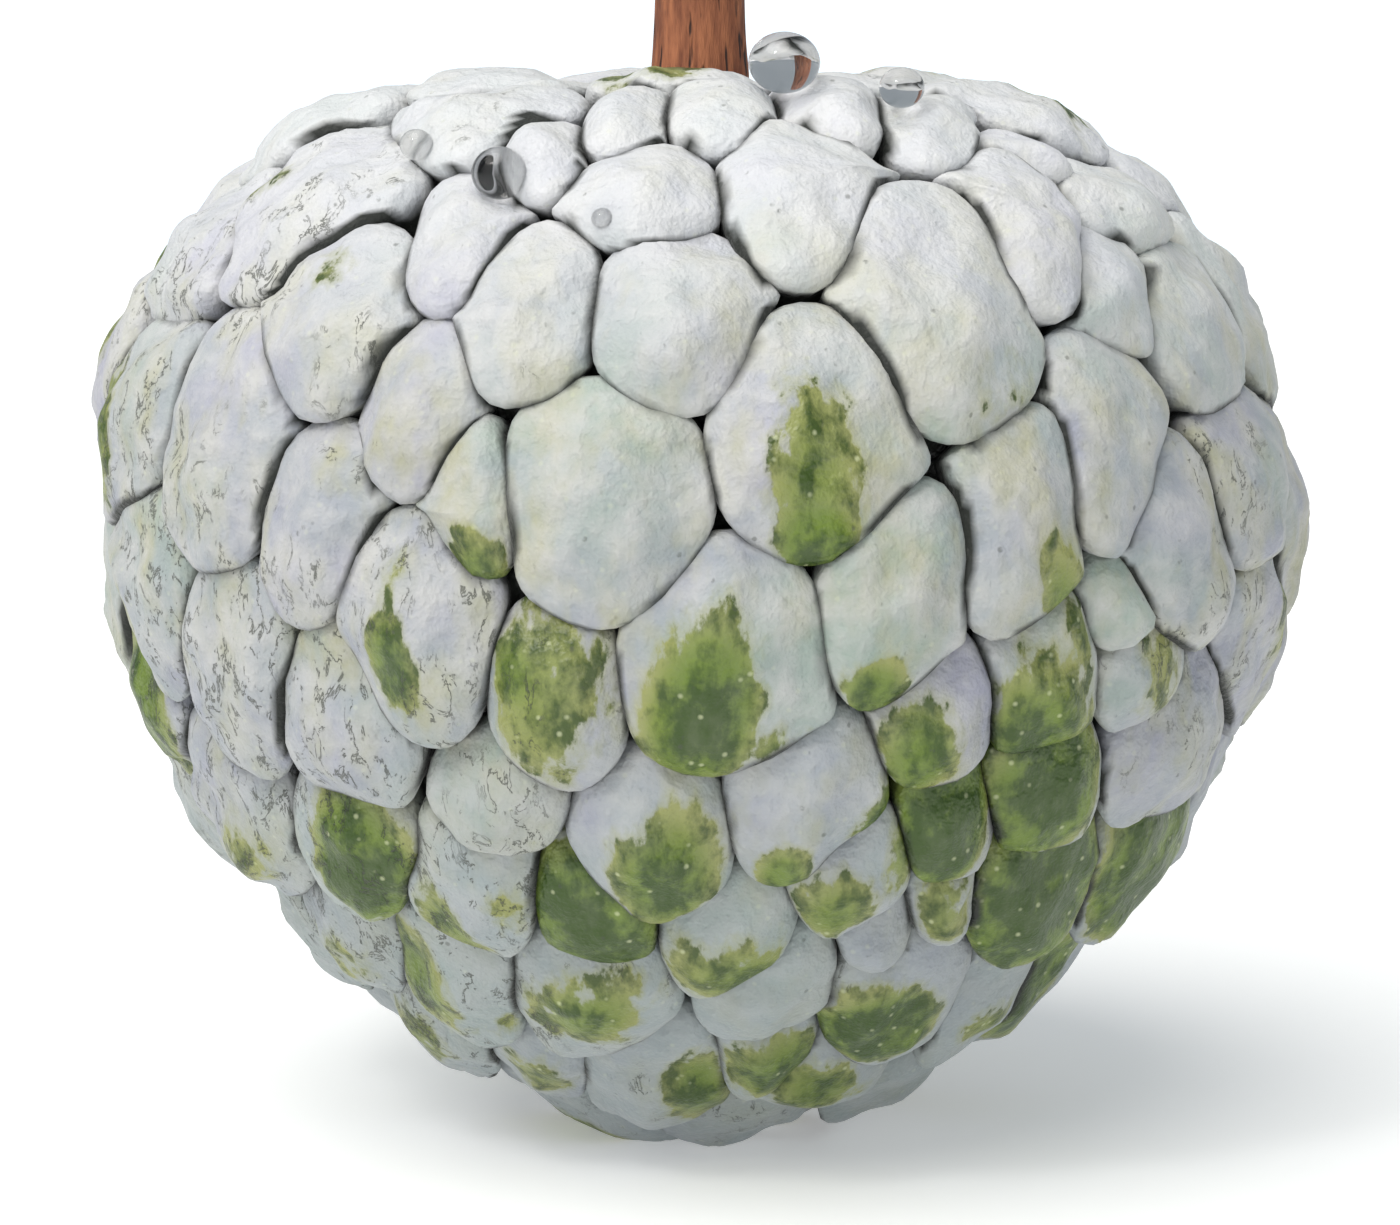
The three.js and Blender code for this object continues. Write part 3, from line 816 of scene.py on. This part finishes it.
@dataclass
class Planting:
    """Where the tubercles grow: those named above, and the rest spread by rule."""

    lattice_points: int = 600
    top_spacing_deg: float = 13.0
    waist_spacing_deg: float = 17.0
    bottom_spacing_deg: float = 15.0
    top_from_deg: float = 45.0
    bottom_from_deg: float = -40.0
    fill_limit: float = 0.92
    neighbours: int = 6
    fill_share: float = 0.56
    stretch: tuple[float, float] = (1.04, 1.16)
    lean_deg: tuple[float, float] = (-15.0, 15.0)

    def centres(self) -> np.ndarray:
        """Returns every tubercle's direction, one a row."""
        centres = [direction(lon, lat) for lon, lat, *_ in TUBERCLES]
        number = np.arange(self.lattice_points)
        latitude = np.degrees(np.arcsin(1 - (2 * number + 1) / self.lattice_points))
        longitude = np.degrees(math.pi * (1 + math.sqrt(5)) * (number + 0.5))
        lattice = np.array([direction(lon, lat) for lon, lat in zip(longitude, latitude)])
        spacing = np.where(
            latitude > self.top_from_deg,
            self.top_spacing_deg,
            np.where(latitude < self.bottom_from_deg, self.bottom_spacing_deg, self.waist_spacing_deg),
        )
        nearest = np.max(lattice @ np.array(centres).T, axis=1)
        gap = np.degrees(np.arccos(np.clip(nearest, -1, 1))) / spacing
        while gap.max() >= self.fill_limit:
            emptiest = lattice[int(gap.argmax())]
            centres.append(emptiest)
            away = np.degrees(np.arccos(np.clip(lattice @ emptiest, -1, 1))) / spacing
            gap = np.minimum(gap, away)
        return np.array(centres)

    def grow(self) -> list[Tubercle]:
        """Returns every tubercle of the fruit."""
        random = RandomNumbers()
        centres = self.centres()
        surface = BODY.skin(centres, np.zeros(len(centres)))
        grown = []
        for i, centre in enumerate(centres):
            if i < len(TUBERCLES):
                _, _, half_width, half_height, lean = TUBERCLES[i]
                grown.append(Tubercle(centre, half_width, half_height, lean))
                continue
            near = np.sort(np.linalg.norm(surface - surface[i], axis=1))[1 : self.neighbours + 1]
            size = self.fill_share * float(near.mean())
            stretch = between(*self.stretch, random.draw())
            lean = between(*self.lean_deg, random.draw())
            grown.append(Tubercle(centre, size / stretch, size * stretch, lean))
        return grown


@dataclass
class GroovePoint:
    """A point of the net of grooves, and the tubercles that meet there."""

    name: str
    owners: list[int]
    towards: np.ndarray
    index: int = -1


@dataclass
class GrooveNet:
    """The net of grooves between the tubercles, each point shared by those that meet there."""

    tubercles: list[Tubercle]
    nearest: int = 18
    step: float = 0.024
    settling_rounds: int = 8
    settling_rate: float = 0.35
    settling_step: float = 0.008
    points: dict[str, GroovePoint] = field(default_factory=dict)

    def corners(self, i: int, weights: list[float]) -> list[GroovePoint]:
        """Finds the corners of one tubercle's share of the skin, counter-clockwise from outside.

        Args:
            i: the tubercle's number.
            weights: how strongly each tubercle holds its ground.

        Returns:
            The corners, each named by the three tubercles that meet there.
        """
        own = self.tubercles[i]
        facing = [float(other.centre @ own.centre) for other in self.tubercles]
        order = sorted((j for j in range(len(facing)) if j != i), key=lambda j: -facing[j])
        # A square that the neighbours cut down: the place of each corner, and whose wall follows it
        sides = [(-1.0, -1.0, -1), (1.0, -1.0, -2), (1.0, 1.0, -3), (-1.0, 1.0, -4)]
        for j in order[: self.nearest]:
            plane = own.centre * weights[i] - self.tubercles[j].centre * weights[j]
            a, b, c = float(plane @ own.east), float(plane @ own.north), float(plane @ own.centre)
            kept = []
            for k, (x, y, wall) in enumerate(sides):
                next_x, next_y, _ = sides[(k + 1) % len(sides)]
                here, there = x * a + y * b + c, next_x * a + next_y * b + c
                if here >= 0:
                    kept.append((x, y, wall))
                if (here >= 0) != (there >= 0):
                    t = here / (here - there)
                    new_wall = j if here >= 0 else wall
                    kept.append((x + t * (next_x - x), y + t * (next_y - y), new_wall))
            sides = kept
        found = []
        for k, (x, y, wall) in enumerate(sides):
            owners = sorted([i, sides[k - 1][2], wall])
            towards = unit(own.centre + own.east * x + own.north * y)
            found.append(GroovePoint(" ".join(map(str, owners)), owners, towards))
        return found

    def settle(self, point: GroovePoint) -> None:
        """Moves a point until it lies as far out on each oval that meets there."""
        for _ in range(self.settling_rounds):
            shares = [self.tubercles[i].share(point.towards) for i in point.owners]
            mean = sum(shares) / len(shares)
            move = np.zeros(3)
            for i, share in zip(point.owners, shares):
                away = point.towards - self.tubercles[i].centre
                move += away * (self.settling_rate * (mean - share) / share)
            length = float(np.linalg.norm(move))
            if length > self.settling_step:
                move *= self.settling_step / length
            point.towards = unit(point.towards + move)

    def side(self, corner: GroovePoint, after: GroovePoint) -> list[GroovePoint]:
        """Returns the points between two corners of a ring, shared with the tubercle across."""
        owners = [owner for owner in corner.owners if owner in after.owners]
        low, high = (corner, after) if corner.name < after.name else (after, corner)
        angle = math.acos(max(-1.0, min(1.0, float(low.towards @ high.towards))))
        steps = max(1, round(angle / self.step))
        between = []
        for m in range(1, steps):
            part = m if low is corner else steps - m
            name = f"{low.name}, {high.name}, {part}"
            if name not in self.points:
                t = part / steps
                towards = unit(low.towards * (1 - t) + high.towards * t)
                self.points[name] = GroovePoint(name, owners, towards)
            between.append(self.points[name])
        return between

    def rings(self) -> list[list[GroovePoint]]:
        """Returns the ring of groove points round each tubercle, and numbers the points."""
        weights = []
        for one in self.tubercles:
            weights.append(1 / math.cos((one.half_width + one.half_height) / (one.east_mm + one.north_mm)))
        rings = []
        for i in range(len(self.tubercles)):
            corners = self.corners(i, weights)
            ring = []
            for k, corner in enumerate(corners):
                ring.append(self.points.setdefault(corner.name, corner))
                ring.extend(self.side(corner, corners[(k + 1) % len(corners)]))
            rings.append(ring)
        for index, point in enumerate(self.points.values()):
            point.index = index
            self.settle(point)
        return rings


@dataclass(frozen=True)
class Folds:
    """The crease and the lip at a tubercle's lower end. Lengths in mm."""

    crease: float
    crease_right: float
    crease_top: float
    lip: float
    lip_at: float
    crease_width: float = 0.55
    crease_foot: float = 0.9
    lip_width: float = 0.1

    @classmethod
    def draw(cls, random: np.random.Generator) -> "Folds":
        """Returns folds drawn by chance: half of the tubercles have a crease, and two in five a lip."""
        chance = random.random(5)
        return cls(
            crease=max(0.0, between(-0.55, 0.55, chance[0])),
            crease_right=between(-1.5, 1.5, chance[1]),
            crease_top=between(0.1, 0.6, chance[2]),
            lip=max(0.0, between(-0.9, 0.6, chance[3])),
            lip_at=between(0.55, 0.75, chance[4]),
        )

    def depth(self, own: np.ndarray, place: np.ndarray) -> np.ndarray:
        """Finds how deep the folds are.

        Args:
            own: shares across and along the tubercle's oval, one a row.
            place: the same places in the tangent plane, in mm.

        Returns:
            A depth for each place.
        """
        low = -own[:, 1]
        across = (place[:, 0] - self.crease_right) / self.crease_width
        crease = self.crease * np.exp(-(across**2)) * smooth(self.crease_top, self.crease_foot, low)
        return crease + self.lip * smooth(self.lip_at, self.lip_at + self.lip_width, low)


@dataclass(frozen=True)
class Wear:
    """How one tubercle looks: its tint, its folds, its rubbed patches and its scratches."""

    tone: float
    folds: Folds
    patches: list[Patch]
    marks: float

    @classmethod
    def draw(cls, number: int, tubercle: Tubercle, random: np.random.Generator) -> "Wear":
        """Finds a tubercle's looks: as named above in front, and drawn by chance elsewhere.

        Args:
            number: the tubercle's number.
            tubercle: the tubercle.
            random: where chance comes from; in front, the patches' numbers are drawn and left.

        Returns:
            The looks.
        """
        tone = random.random()
        folds = Folds.draw(random)
        patches = cls.chance_patches(tubercle, random.random(6))
        if number < len(TUBERCLES):
            return cls(tone, folds, RUBBED.get(number, []), SCRATCHED.get(number, HARDLY_SCRATCHED))
        return cls(tone, folds, patches, MOST_SCRATCHED_BEHIND * random.random())

    @staticmethod
    def chance_patches(tubercle: Tubercle, chance: np.ndarray) -> list[Patch]:
        """Turns six numbers from 0 to 1 into one rubbed patch or none; low down they are commoner."""
        low = max(0.0, -tubercle.centre[2])
        how_common = 0.35 + 0.5 * low
        if chance[0] > how_common:
            return []
        size = between(0.3, 0.7, chance[1])
        taller = 1.3
        patch = (
            between(-0.5, 0.5, chance[2]) * tubercle.half_width,
            between(-0.6, 0.4, chance[3]) * tubercle.half_height,
            size * tubercle.half_width,
            size * tubercle.half_height * taller,
            between(-30, 30, chance[4]),
            between(0.7, 1.1, chance[5]) + 0.2 * low,
        )
        return [patch]

    def rubbed(self, place: np.ndarray) -> np.ndarray:
        """Returns how far the bloom is rubbed off at each place, a half where a full patch ends."""
        worn = np.zeros(len(place))
        for right, up, half_width, half_height, lean, bareness in self.patches:
            cos, sin = math.cos(math.radians(lean)), math.sin(math.radians(lean))
            x, y = place[:, 0] - right, place[:, 1] - up
            across = (x * cos - y * sin) / half_width
            along = (x * sin + y * cos) / half_height
            worn = np.maximum(worn, bareness * (1 - 0.5 * (across**2 + along**2)))
        return worn


@dataclass
class Gathered:
    """The skin's points and faces as they are made, with the values that its finish reads."""

    places: list[np.ndarray] = field(default_factory=list)
    values: dict[str, list[np.ndarray]] = field(default_factory=dict)
    faces: list[tuple[int, ...]] = field(default_factory=list)
    count: int = 0

    def add(self, places: np.ndarray, **values: float | np.ndarray) -> None:
        """Adds points, one a row, and named values, each one for all of them or one a point."""
        self.places.append(places)
        for name, value in values.items():
            self.values.setdefault(name, []).append(np.broadcast_to(value, len(places)))
        self.count += len(places)


@dataclass
class FruitSkin:
    """The whole fruit's skin: tubercles, the grooves between them, and their small relief."""

    relief: float = 4.2
    crown: float = 1.6
    wall_power: float = 14.0
    outline_softness: float = 0.047
    corner_softness: float = 0.09
    corner_limit: float = 1.19
    least_step: float = 0.15
    lopsided: float = 1.0
    lopsided_from: tuple[float, float] = (5.0, 20.0)
    oval_power: float = 2.2
    roundness: float = 0.2
    round_limits: tuple[float, float] = (0.94, 1.05)
    groove_from: float = 0.985
    # Where shade is painted into the grooves: how far out on a tubercle it starts, and how near a rim in mm
    groove_shade: tuple[float, float] = (0.95, 0.98)
    groove_shade_mm: float = 0.4
    squeeze: float = 0.16
    squeeze_power: float = 6.0
    corner_reach: float = 3.4
    sag_power: float = 9.0
    upper_from: tuple[float, float] = (-0.25, 0.35)
    groove_wobble: float = 0.6
    groove_wobble_length: float = 7.0
    rings: int = 14
    ring_power: float = 0.95
    swell: float = 0.65
    swell_length: float = 6.0
    lump: float = 0.62
    lump_length: float = 3.0
    lump_shift: float = 31.0
    calm_from: float = 0.85
    # Degrees of latitude or longitude over which the bloom darkens, pales or is scratched more
    darker_latitude: tuple[float, float] = (10.0, -45.0)
    paler_latitude: tuple[float, float] = (12.0, 50.0)
    left_longitude: tuple[float, float] = (0.0, -40.0)
    left_latitude: tuple[float, float] = (45.0, 10.0)
    left_marks: float = 0.12
    seed: int = 7

    def depth(self, share: float) -> float:
        """Returns how far a tubercle's top has dropped at a share of the way out, in mm."""
        wall = 1 - math.sqrt(1 - min(1.0, share / self.groove_from) ** self.wall_power)
        return self.crown * share**2 + (self.relief - self.crown) * wall

    def softened(self, around: np.ndarray, softness: float) -> np.ndarray:
        """Smooths values that go once round a rim.

        Args:
            around: the values, one row for each place of the rim.
            softness: how far the smoothing reaches, as a share of the way round.

        Returns:
            The smoothed values, as many.
        """
        count = len(around)
        away = np.minimum(np.arange(count), count - np.arange(count)) / (count * softness)
        weight = np.exp(-0.5 * away**2)
        spread = np.fft.fft(weight / weight.sum())
        return np.fft.ifft(np.fft.fft(around, axis=0) * spread[:, None], axis=0).real

    def wobbled(self, towards: np.ndarray) -> np.ndarray:
        """Returns groove directions bent a little by noise, so that no groove runs straight."""
        # Without a seed, the clock would shift the noise
        noise.seed_set(self.seed)
        reach = self.groove_wobble / BODY.radius
        scale = BODY.radius / self.groove_wobble_length
        shifts = np.array([noise.noise_vector(Vector(one * scale)) for one in towards])
        return unit(towards + shifts * reach)

    def build(self) -> bpy.types.Object:
        """Models the skin as one closed mesh and returns its object."""
        tubercles = Planting().grow()
        net = GrooveNet(tubercles)
        rings = net.rings()
        towards = self.wobbled(np.array([point.towards for point in net.points.values()]))
        gathered = Gathered()
        grooves = BODY.skin(towards, np.full(len(towards), -self.relief))
        gathered.add(grooves, share=1.0, rim_mm=0.0, tone=0.5, rubbed=0.0, marks=0.0)
        random = np.random.default_rng(self.seed)
        for number, (tubercle, ring) in enumerate(zip(tubercles, rings)):
            wear = Wear.draw(number, tubercle, random)
            corners = [point.index for point in ring]
            self.raise_tubercle(gathered, tubercle, wear, tubercle.plane(towards[corners]))
            self.close(gathered, corners)
        skin = np.concatenate(gathered.places)
        values = {name: np.concatenate(parts) for name, parts in gathered.values.items()}
        share = values.pop("share")
        # Painted shade: near black next to each rim and on the outermost rings, where the grooves lie in
        # shade
        groove_shade_near_rim = 1 - smooth(0.0, self.groove_shade_mm, values["rim_mm"])
        values["groove"] = np.maximum(groove_shade_near_rim, smooth(*self.groove_shade, share))
        skin = self.wrinkled(skin, share)
        across = skin[:, 0] / BODY.radius
        skin[:, 0] -= self.lopsided * across**2 * smooth(*self.lopsided_from, skin[:, 2])
        skin[:, 2] = np.maximum(skin[:, 2] + BODY.centre_above_rest, 0.0)
        self.weather(skin, values)
        return self.mesh_object(skin, gathered.faces, values)

    def raise_tubercle(self, gathered: Gathered, tubercle: Tubercle, wear: Wear, rim: np.ndarray) -> None:
        """Adds a tubercle's rings of points, from the middle's own ring outwards, and its middle last.

        Args:
            gathered: the skin so far.
            tubercle: the tubercle.
            wear: its looks.
            rim: where its grooves lie in its tangent plane, one place a row.
        """
        reach = np.linalg.norm(rim, axis=1)
        outline = self.outline(tubercle, rim)
        corner_gap = reach - np.linalg.norm(outline, axis=1)
        pressing = np.clip(1 - corner_gap / self.corner_reach, 0, 1)[:, None]
        pressed = self.squeeze * self.softened(pressing, self.outline_softness)
        even = np.arange(1, self.rings + 1) / self.rings
        shares = self.groove_from * np.sin(even * math.pi / 2) ** self.ring_power
        for share in [*shares, 0.0]:
            place = share * outline * (1 + pressed * math.sin(math.pi * share**self.squeeze_power))
            if share == 0:
                place, reach = place[:1], reach.mean()
            inside = np.maximum(0, reach - np.linalg.norm(place, axis=1))
            own = tubercle.own_axes(place)
            rubbed = wear.rubbed(place)
            upper = smooth(*self.upper_from, own[:, 1])
            held = share**self.sag_power * (1 - upper) + share**2 * upper
            place[:, 1] += tubercle.sag * held
            depth = self.depth(share) + wear.folds.depth(own, place)
            top = tubercle.top(place, depth)
            gathered.add(top, share=share, rim_mm=inside, tone=wear.tone, rubbed=rubbed, marks=wear.marks)

    def close(self, gathered: Gathered, corners: list[int]) -> None:
        """Adds the faces of the tubercle that was raised last.

        Args:
            gathered: the skin so far.
            corners: the numbers of the groove points round it.
        """
        around = len(corners)
        middle = gathered.count - 1
        first = middle - self.rings * around
        last = middle - around
        for k in range(around):
            after = (k + 1) % around
            gathered.faces.append((middle, first + k, first + after))
            for inner in range(first, last, around):
                outer = inner + around
                gathered.faces.append((inner + k, outer + k, outer + after, inner + after))
            gathered.faces.append((last + k, corners[k], corners[after], last + after))

    def outline(self, tubercle: Tubercle, rim: np.ndarray) -> np.ndarray:
        """Rounds a rim, and draws it towards the tubercle's own oval.

        Args:
            tubercle: the segment.
            rim: the rim's places in the tangent plane, one a row.

        Returns:
            The rounded rim, with as many places.
        """
        soft = self.forward(self.softened(rim, self.outline_softness))
        own = np.abs(tubercle.own_axes(soft))
        share = np.sum(own**self.oval_power, axis=1) ** (1 / self.oval_power)
        pull = 1 + self.roundness * (share.mean() / share - 1)
        soft *= np.clip(pull, *self.round_limits)[:, None]
        reach = np.linalg.norm(soft, axis=1)[:, None]
        nearby = self.softened(reach, self.corner_softness)
        return soft * np.minimum(1, self.corner_limit * nearby / reach)

    def forward(self, outline: np.ndarray) -> np.ndarray:
        """Keeps an outline from turning back on itself, which would fold the skin.

        Args:
            outline: the outline's places round its middle, one a row.

        Returns:
            The outline, with as many places, each further round than the one before.
        """
        turn = np.unwrap(np.arctan2(outline[:, 1], outline[:, 0]))
        way = math.copysign(1.0, turn[-1] - turn[0])
        steps = way * np.diff(turn, append=turn[0] + way * math.tau)
        steps = np.maximum(steps, self.least_step * math.tau / len(turn))
        steps *= math.tau / steps.sum()
        after = way * (np.cumsum(steps) - steps)
        after += (turn - after).mean()
        reach = np.linalg.norm(outline, axis=1)
        return reach[:, None] * np.stack([np.cos(after), np.sin(after)], axis=1)

    def wrinkled(self, skin: np.ndarray, share: np.ndarray) -> np.ndarray:
        """Swells and dents the skin, less in the grooves.

        Args:
            skin: the points, one a row, with the fruit's middle at the origin.
            share: how far out on its tubercle each point lies.

        Returns:
            The moved points.
        """
        calm = 1 - smooth(self.calm_from, 1.0, share)
        moved = []
        for point in skin:
            swell = noise.noise(Vector(point / self.swell_length))
            lump = noise.noise(Vector(point / self.lump_length + self.lump_shift))
            moved.append(self.swell * swell + self.lump * lump)
        return skin + unit(skin) * (np.array(moved) * calm)[:, None]

    def weather(self, skin: np.ndarray, values: dict[str, np.ndarray]) -> None:
        """Finds where the bloom is darker below and paler above, and scratches the left side more.

        Args:
            skin: the points, one a row, in the row frame.
            values: the values for each point, to which thin (the darker bloom below) and thick (the paler
                bloom above) are added.
        """
        towards = unit(skin - np.array([0, 0, BODY.centre_above_rest]))
        latitude = np.degrees(np.arcsin(towards[:, 2]))
        longitude = np.degrees(np.arctan2(towards[:, 0], -towards[:, 1]))
        values["thin"] = smooth(*self.darker_latitude, latitude)
        values["thick"] = smooth(*self.paler_latitude, latitude)
        left = smooth(*self.left_longitude, longitude) * smooth(*self.left_latitude, latitude)
        values["marks"] += self.left_marks * left

    def mesh_object(
        self, skin: np.ndarray, faces: list[tuple[int, ...]], values: dict[str, np.ndarray]
    ) -> bpy.types.Object:
        """Makes the object of the skin.

        Args:
            skin: the points in mm, one a row.
            faces: the corners of each face.
            values: named values for each point, which the finish reads.

        Returns:
            The skin's object, at the origin.
        """
        mesh = bpy.data.meshes.new("fruit_skin")
        mesh.from_pydata((skin * MM).tolist(), [], faces)
        for name, value in values.items():
            stored = mesh.attributes.new(name, "FLOAT", "POINT")
            stored.data.foreach_set("value", value.astype(np.float32))
        mesh.update()
        made = bpy.data.objects.new("fruit_skin", mesh)
        bpy.context.scene.collection.objects.link(made)
        mesh.shade_smooth()
        return made


@dataclass
class Stalk:
    """The cut end of the woody stalk, standing in the hollow. Lengths in mm."""

    node: str = "stalk"
    radius: float = 3.3
    foot_radius: float = 3.6
    foot_spread: float = 2.5
    root: float = 4.0
    edge: float = 0.45
    sides: int = 40
    rings: int = 26
    waver: float = 0.22
    waver_length: float = 3.0
    waver_stretch: float = 0.35
    sharp_deg: float = 50.0
    # How far up a face of the cut end faces, as the height of its unit normal
    end_faces: float = 0.9

    def build(self) -> bpy.types.Object:
        """Models the stalk over its solid and returns its object."""
        low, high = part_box(self.node)
        base = low[2] / MM
        top = high[2] / MM
        bpy.ops.object.select_all(action="DESELECT")
        bpy.ops.mesh.primitive_cylinder_add(
            vertices=self.sides,
            radius=self.radius * MM,
            depth=(top - base) * MM,
            location=(0, 0, (top + base) / 2 * MM),
            end_fill_type="NGON",
        )
        made = bpy.context.object
        made.name = "stalk_bark"
        bpy.ops.object.transform_apply(location=True, rotation=True, scale=True)
        bpy.ops.object.mode_set(mode="EDIT")
        edge = top - self.edge
        levels = [base + (edge - base) * step / self.rings for step in range(1, self.rings)]
        for height in [edge, *levels]:
            bpy.ops.mesh.select_all(action="SELECT")
            bpy.ops.mesh.bisect(plane_co=(0, 0, height * MM), plane_no=(0, 0, 1))
        bpy.ops.object.mode_set(mode="OBJECT")
        for vertex in made.data.vertices:
            vertex.co = self.roughened(vertex.co, base, top)
        bpy.ops.object.shade_smooth_by_angle(angle=math.radians(self.sharp_deg))
        for finish in (DryBark(), CutWood()):
            made.data.materials.append(finish.make())
        for face in made.data.polygons:
            if face.normal.z > self.end_faces:
                face.material_index = 1
        return made

    def roughened(self, place: Vector, base: float, top: float) -> tuple[float, float, float]:
        """Widens the stalk at its foot, breaks its top edge and makes it waver.

        Args:
            place: a point of the plain stalk, in metres.
            base: the height of its foot.
            top: the height of its cut end.

        Returns:
            The moved point.
        """
        x, y, z = place
        height = z / MM
        foot = math.exp(-max(0.0, height - base - self.root) / self.foot_spread)
        widen = 1 + (self.foot_radius / self.radius - 1) * foot
        if top - height < self.edge / 2:
            widen *= 1 - self.edge / self.radius
        rough = noise.noise(Vector((x, y, z * self.waver_stretch)) / (self.waver_length * MM))
        widen *= 1 + self.waver * rough / self.radius
        return x * widen, y * widen, z


@dataclass
class WaterDrops:
    """The beads of water, each over its solid."""

    count: int = 5
    grow: float = 1.06
    segments: int = 32
    rings: int = 20

    def build(self) -> list[bpy.types.Object]:
        """Models each bead over its solid and returns the objects."""
        beads = []
        for number in range(1, self.count + 1):
            low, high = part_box(f"water_drop_{number}")
            middle = (Vector(low) + Vector(high)) / 2
            size = Vector(high) - Vector(low)
            bpy.ops.object.select_all(action="DESELECT")
            bpy.ops.mesh.primitive_uv_sphere_add(
                segments=self.segments, ring_count=self.rings, radius=0.5, location=middle
            )
            made = bpy.context.object
            made.name = f"water_bead_{number}"
            made.scale = size * self.grow
            bpy.ops.object.transform_apply(location=True, rotation=True, scale=True)
            made.data.shade_smooth()
            beads.append(made)
        return beads


@dataclass
class Studio:
    """The pale floor, the soft lights and the camera. Lengths in metres."""

    floor_size: float = 8.0
    warm: tuple[float, float, float] = (1.0, 0.97, 0.91)
    window_from: tuple[float, float, float] = (-0.34, -0.42, 1.0)
    window_spread_deg: float = 60.0
    window_power: float = 2.4
    front_from: tuple[float, float, float] = (-0.6, -1.0, 0.3)
    front_spread_deg: float = 80.0
    front_power: float = 0.45
    glint_from: tuple[float, float, float] = (-0.2, -0.3, 0.35)
    glint_size: float = 0.06
    glint_power: float = 0.35
    sky: tuple[float, float, float, float] = (0.82, 0.92, 1.0, 1.0)
    sky_strength: float = 0.38
    backdrop_strength: float = 1.3

    def floor(self) -> bpy.types.Object:
        """Models the sheet of paper, which runs flat to the white surroundings."""
        bpy.ops.object.select_all(action="DESELECT")
        bpy.ops.mesh.primitive_plane_add(size=self.floor_size)
        made = bpy.context.object
        made.name = "studio_paper"
        return made

    def lights(self) -> None:
        """Adds two wide soft lights, and a small one that the beads and the bare rind mirror."""
        window = {"energy": self.window_power, "angle": math.radians(self.window_spread_deg)}
        front = {"energy": self.front_power, "angle": math.radians(self.front_spread_deg)}
        glint = {"energy": self.glint_power, "size": self.glint_size}
        for name, kind, place, settings in (
            ("window_light", "SUN", self.window_from, {"color": self.warm, **window}),
            ("front_light", "SUN", self.front_from, {"color": self.warm, **front}),
            ("glint", "AREA", self.glint_from, glint),
        ):
            data = bpy.data.lights.new(name, kind)
            for setting, value in settings.items():
                setattr(data, setting, value)
            made = bpy.data.objects.new(name, data)
            bpy.context.scene.collection.objects.link(made)
            made.location = place
            made.rotation_euler = (-Vector(place)).to_track_quat("-Z", "Y").to_euler()

    def surroundings(self) -> None:
        """Sets the pale surroundings, which look white to the camera, and the plain view transform."""
        bpy.context.scene.view_settings.view_transform = "Standard"
        world = bpy.data.worlds.new("pale_surroundings")
        world.use_nodes = True
        tree = world.node_tree
        camera_ray = add_node(tree, "LightPath").outputs["Is Camera Ray"]
        levels = {"To Min": self.sky_strength, "To Max": self.backdrop_strength}
        strength = add_node(tree, "MapRange", None, {"Value": camera_ray, **levels})
        feed(tree, tree.nodes["Background"], {"Color": self.sky, "Strength": strength})
        bpy.context.scene.world = world

    def camera(self) -> None:
        """Sets the camera where the photograph was taken from."""
        rise = math.radians(CAMERA_RISE_DEG)
        data = bpy.data.cameras.new("camera")
        data.sensor_width = SENSOR_MM
        data.lens = FOCAL_PIXELS / PHOTO_WIDTH * SENSOR_MM
        data.shift_y = -(PHOTO_HEIGHT / 2 - FRUIT_MIDDLE_ROW) / PHOTO_WIDTH
        made = bpy.data.objects.new("camera", data)
        bpy.context.scene.collection.objects.link(made)
        made.location = (
            0,
            -CAMERA_DISTANCE_MM * math.cos(rise) * MM,
            (BODY.centre_above_rest + CAMERA_DISTANCE_MM * math.sin(rise)) * MM,
        )
        made.rotation_euler = (math.pi / 2 - rise, 0, 0)
        bpy.context.scene.camera = made


def main() -> None:
    """Builds and dresses every piece."""
    logging.basicConfig(level=logging.INFO, format="%(message)s")
    skin = FruitSkin().build()
    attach(skin, "root")
    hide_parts("fruit")
    skin.data.materials.append(WaxySkin().make())
    log.info("fruit_skin: %d vertices", len(skin.data.vertices))
    stalk = Stalk().build()
    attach(stalk, "root")
    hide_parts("stalk")
    log.info("stalk_bark: %d vertices", len(stalk.data.vertices))
    water = ClearWater().make()
    for number, bead in enumerate(WaterDrops().build(), start=1):
        bead.data.materials.append(water)
        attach(bead, "root")
        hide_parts(f"water_drop_{number}")
        log.info("%s: %d vertices", bead.name, len(bead.data.vertices))
    studio = Studio()
    floor = studio.floor()
    floor.data.materials.append(PalePaper().make())
    studio.lights()
    studio.surroundings()
    studio.camera()


if __name__ == "__main__":
    main()
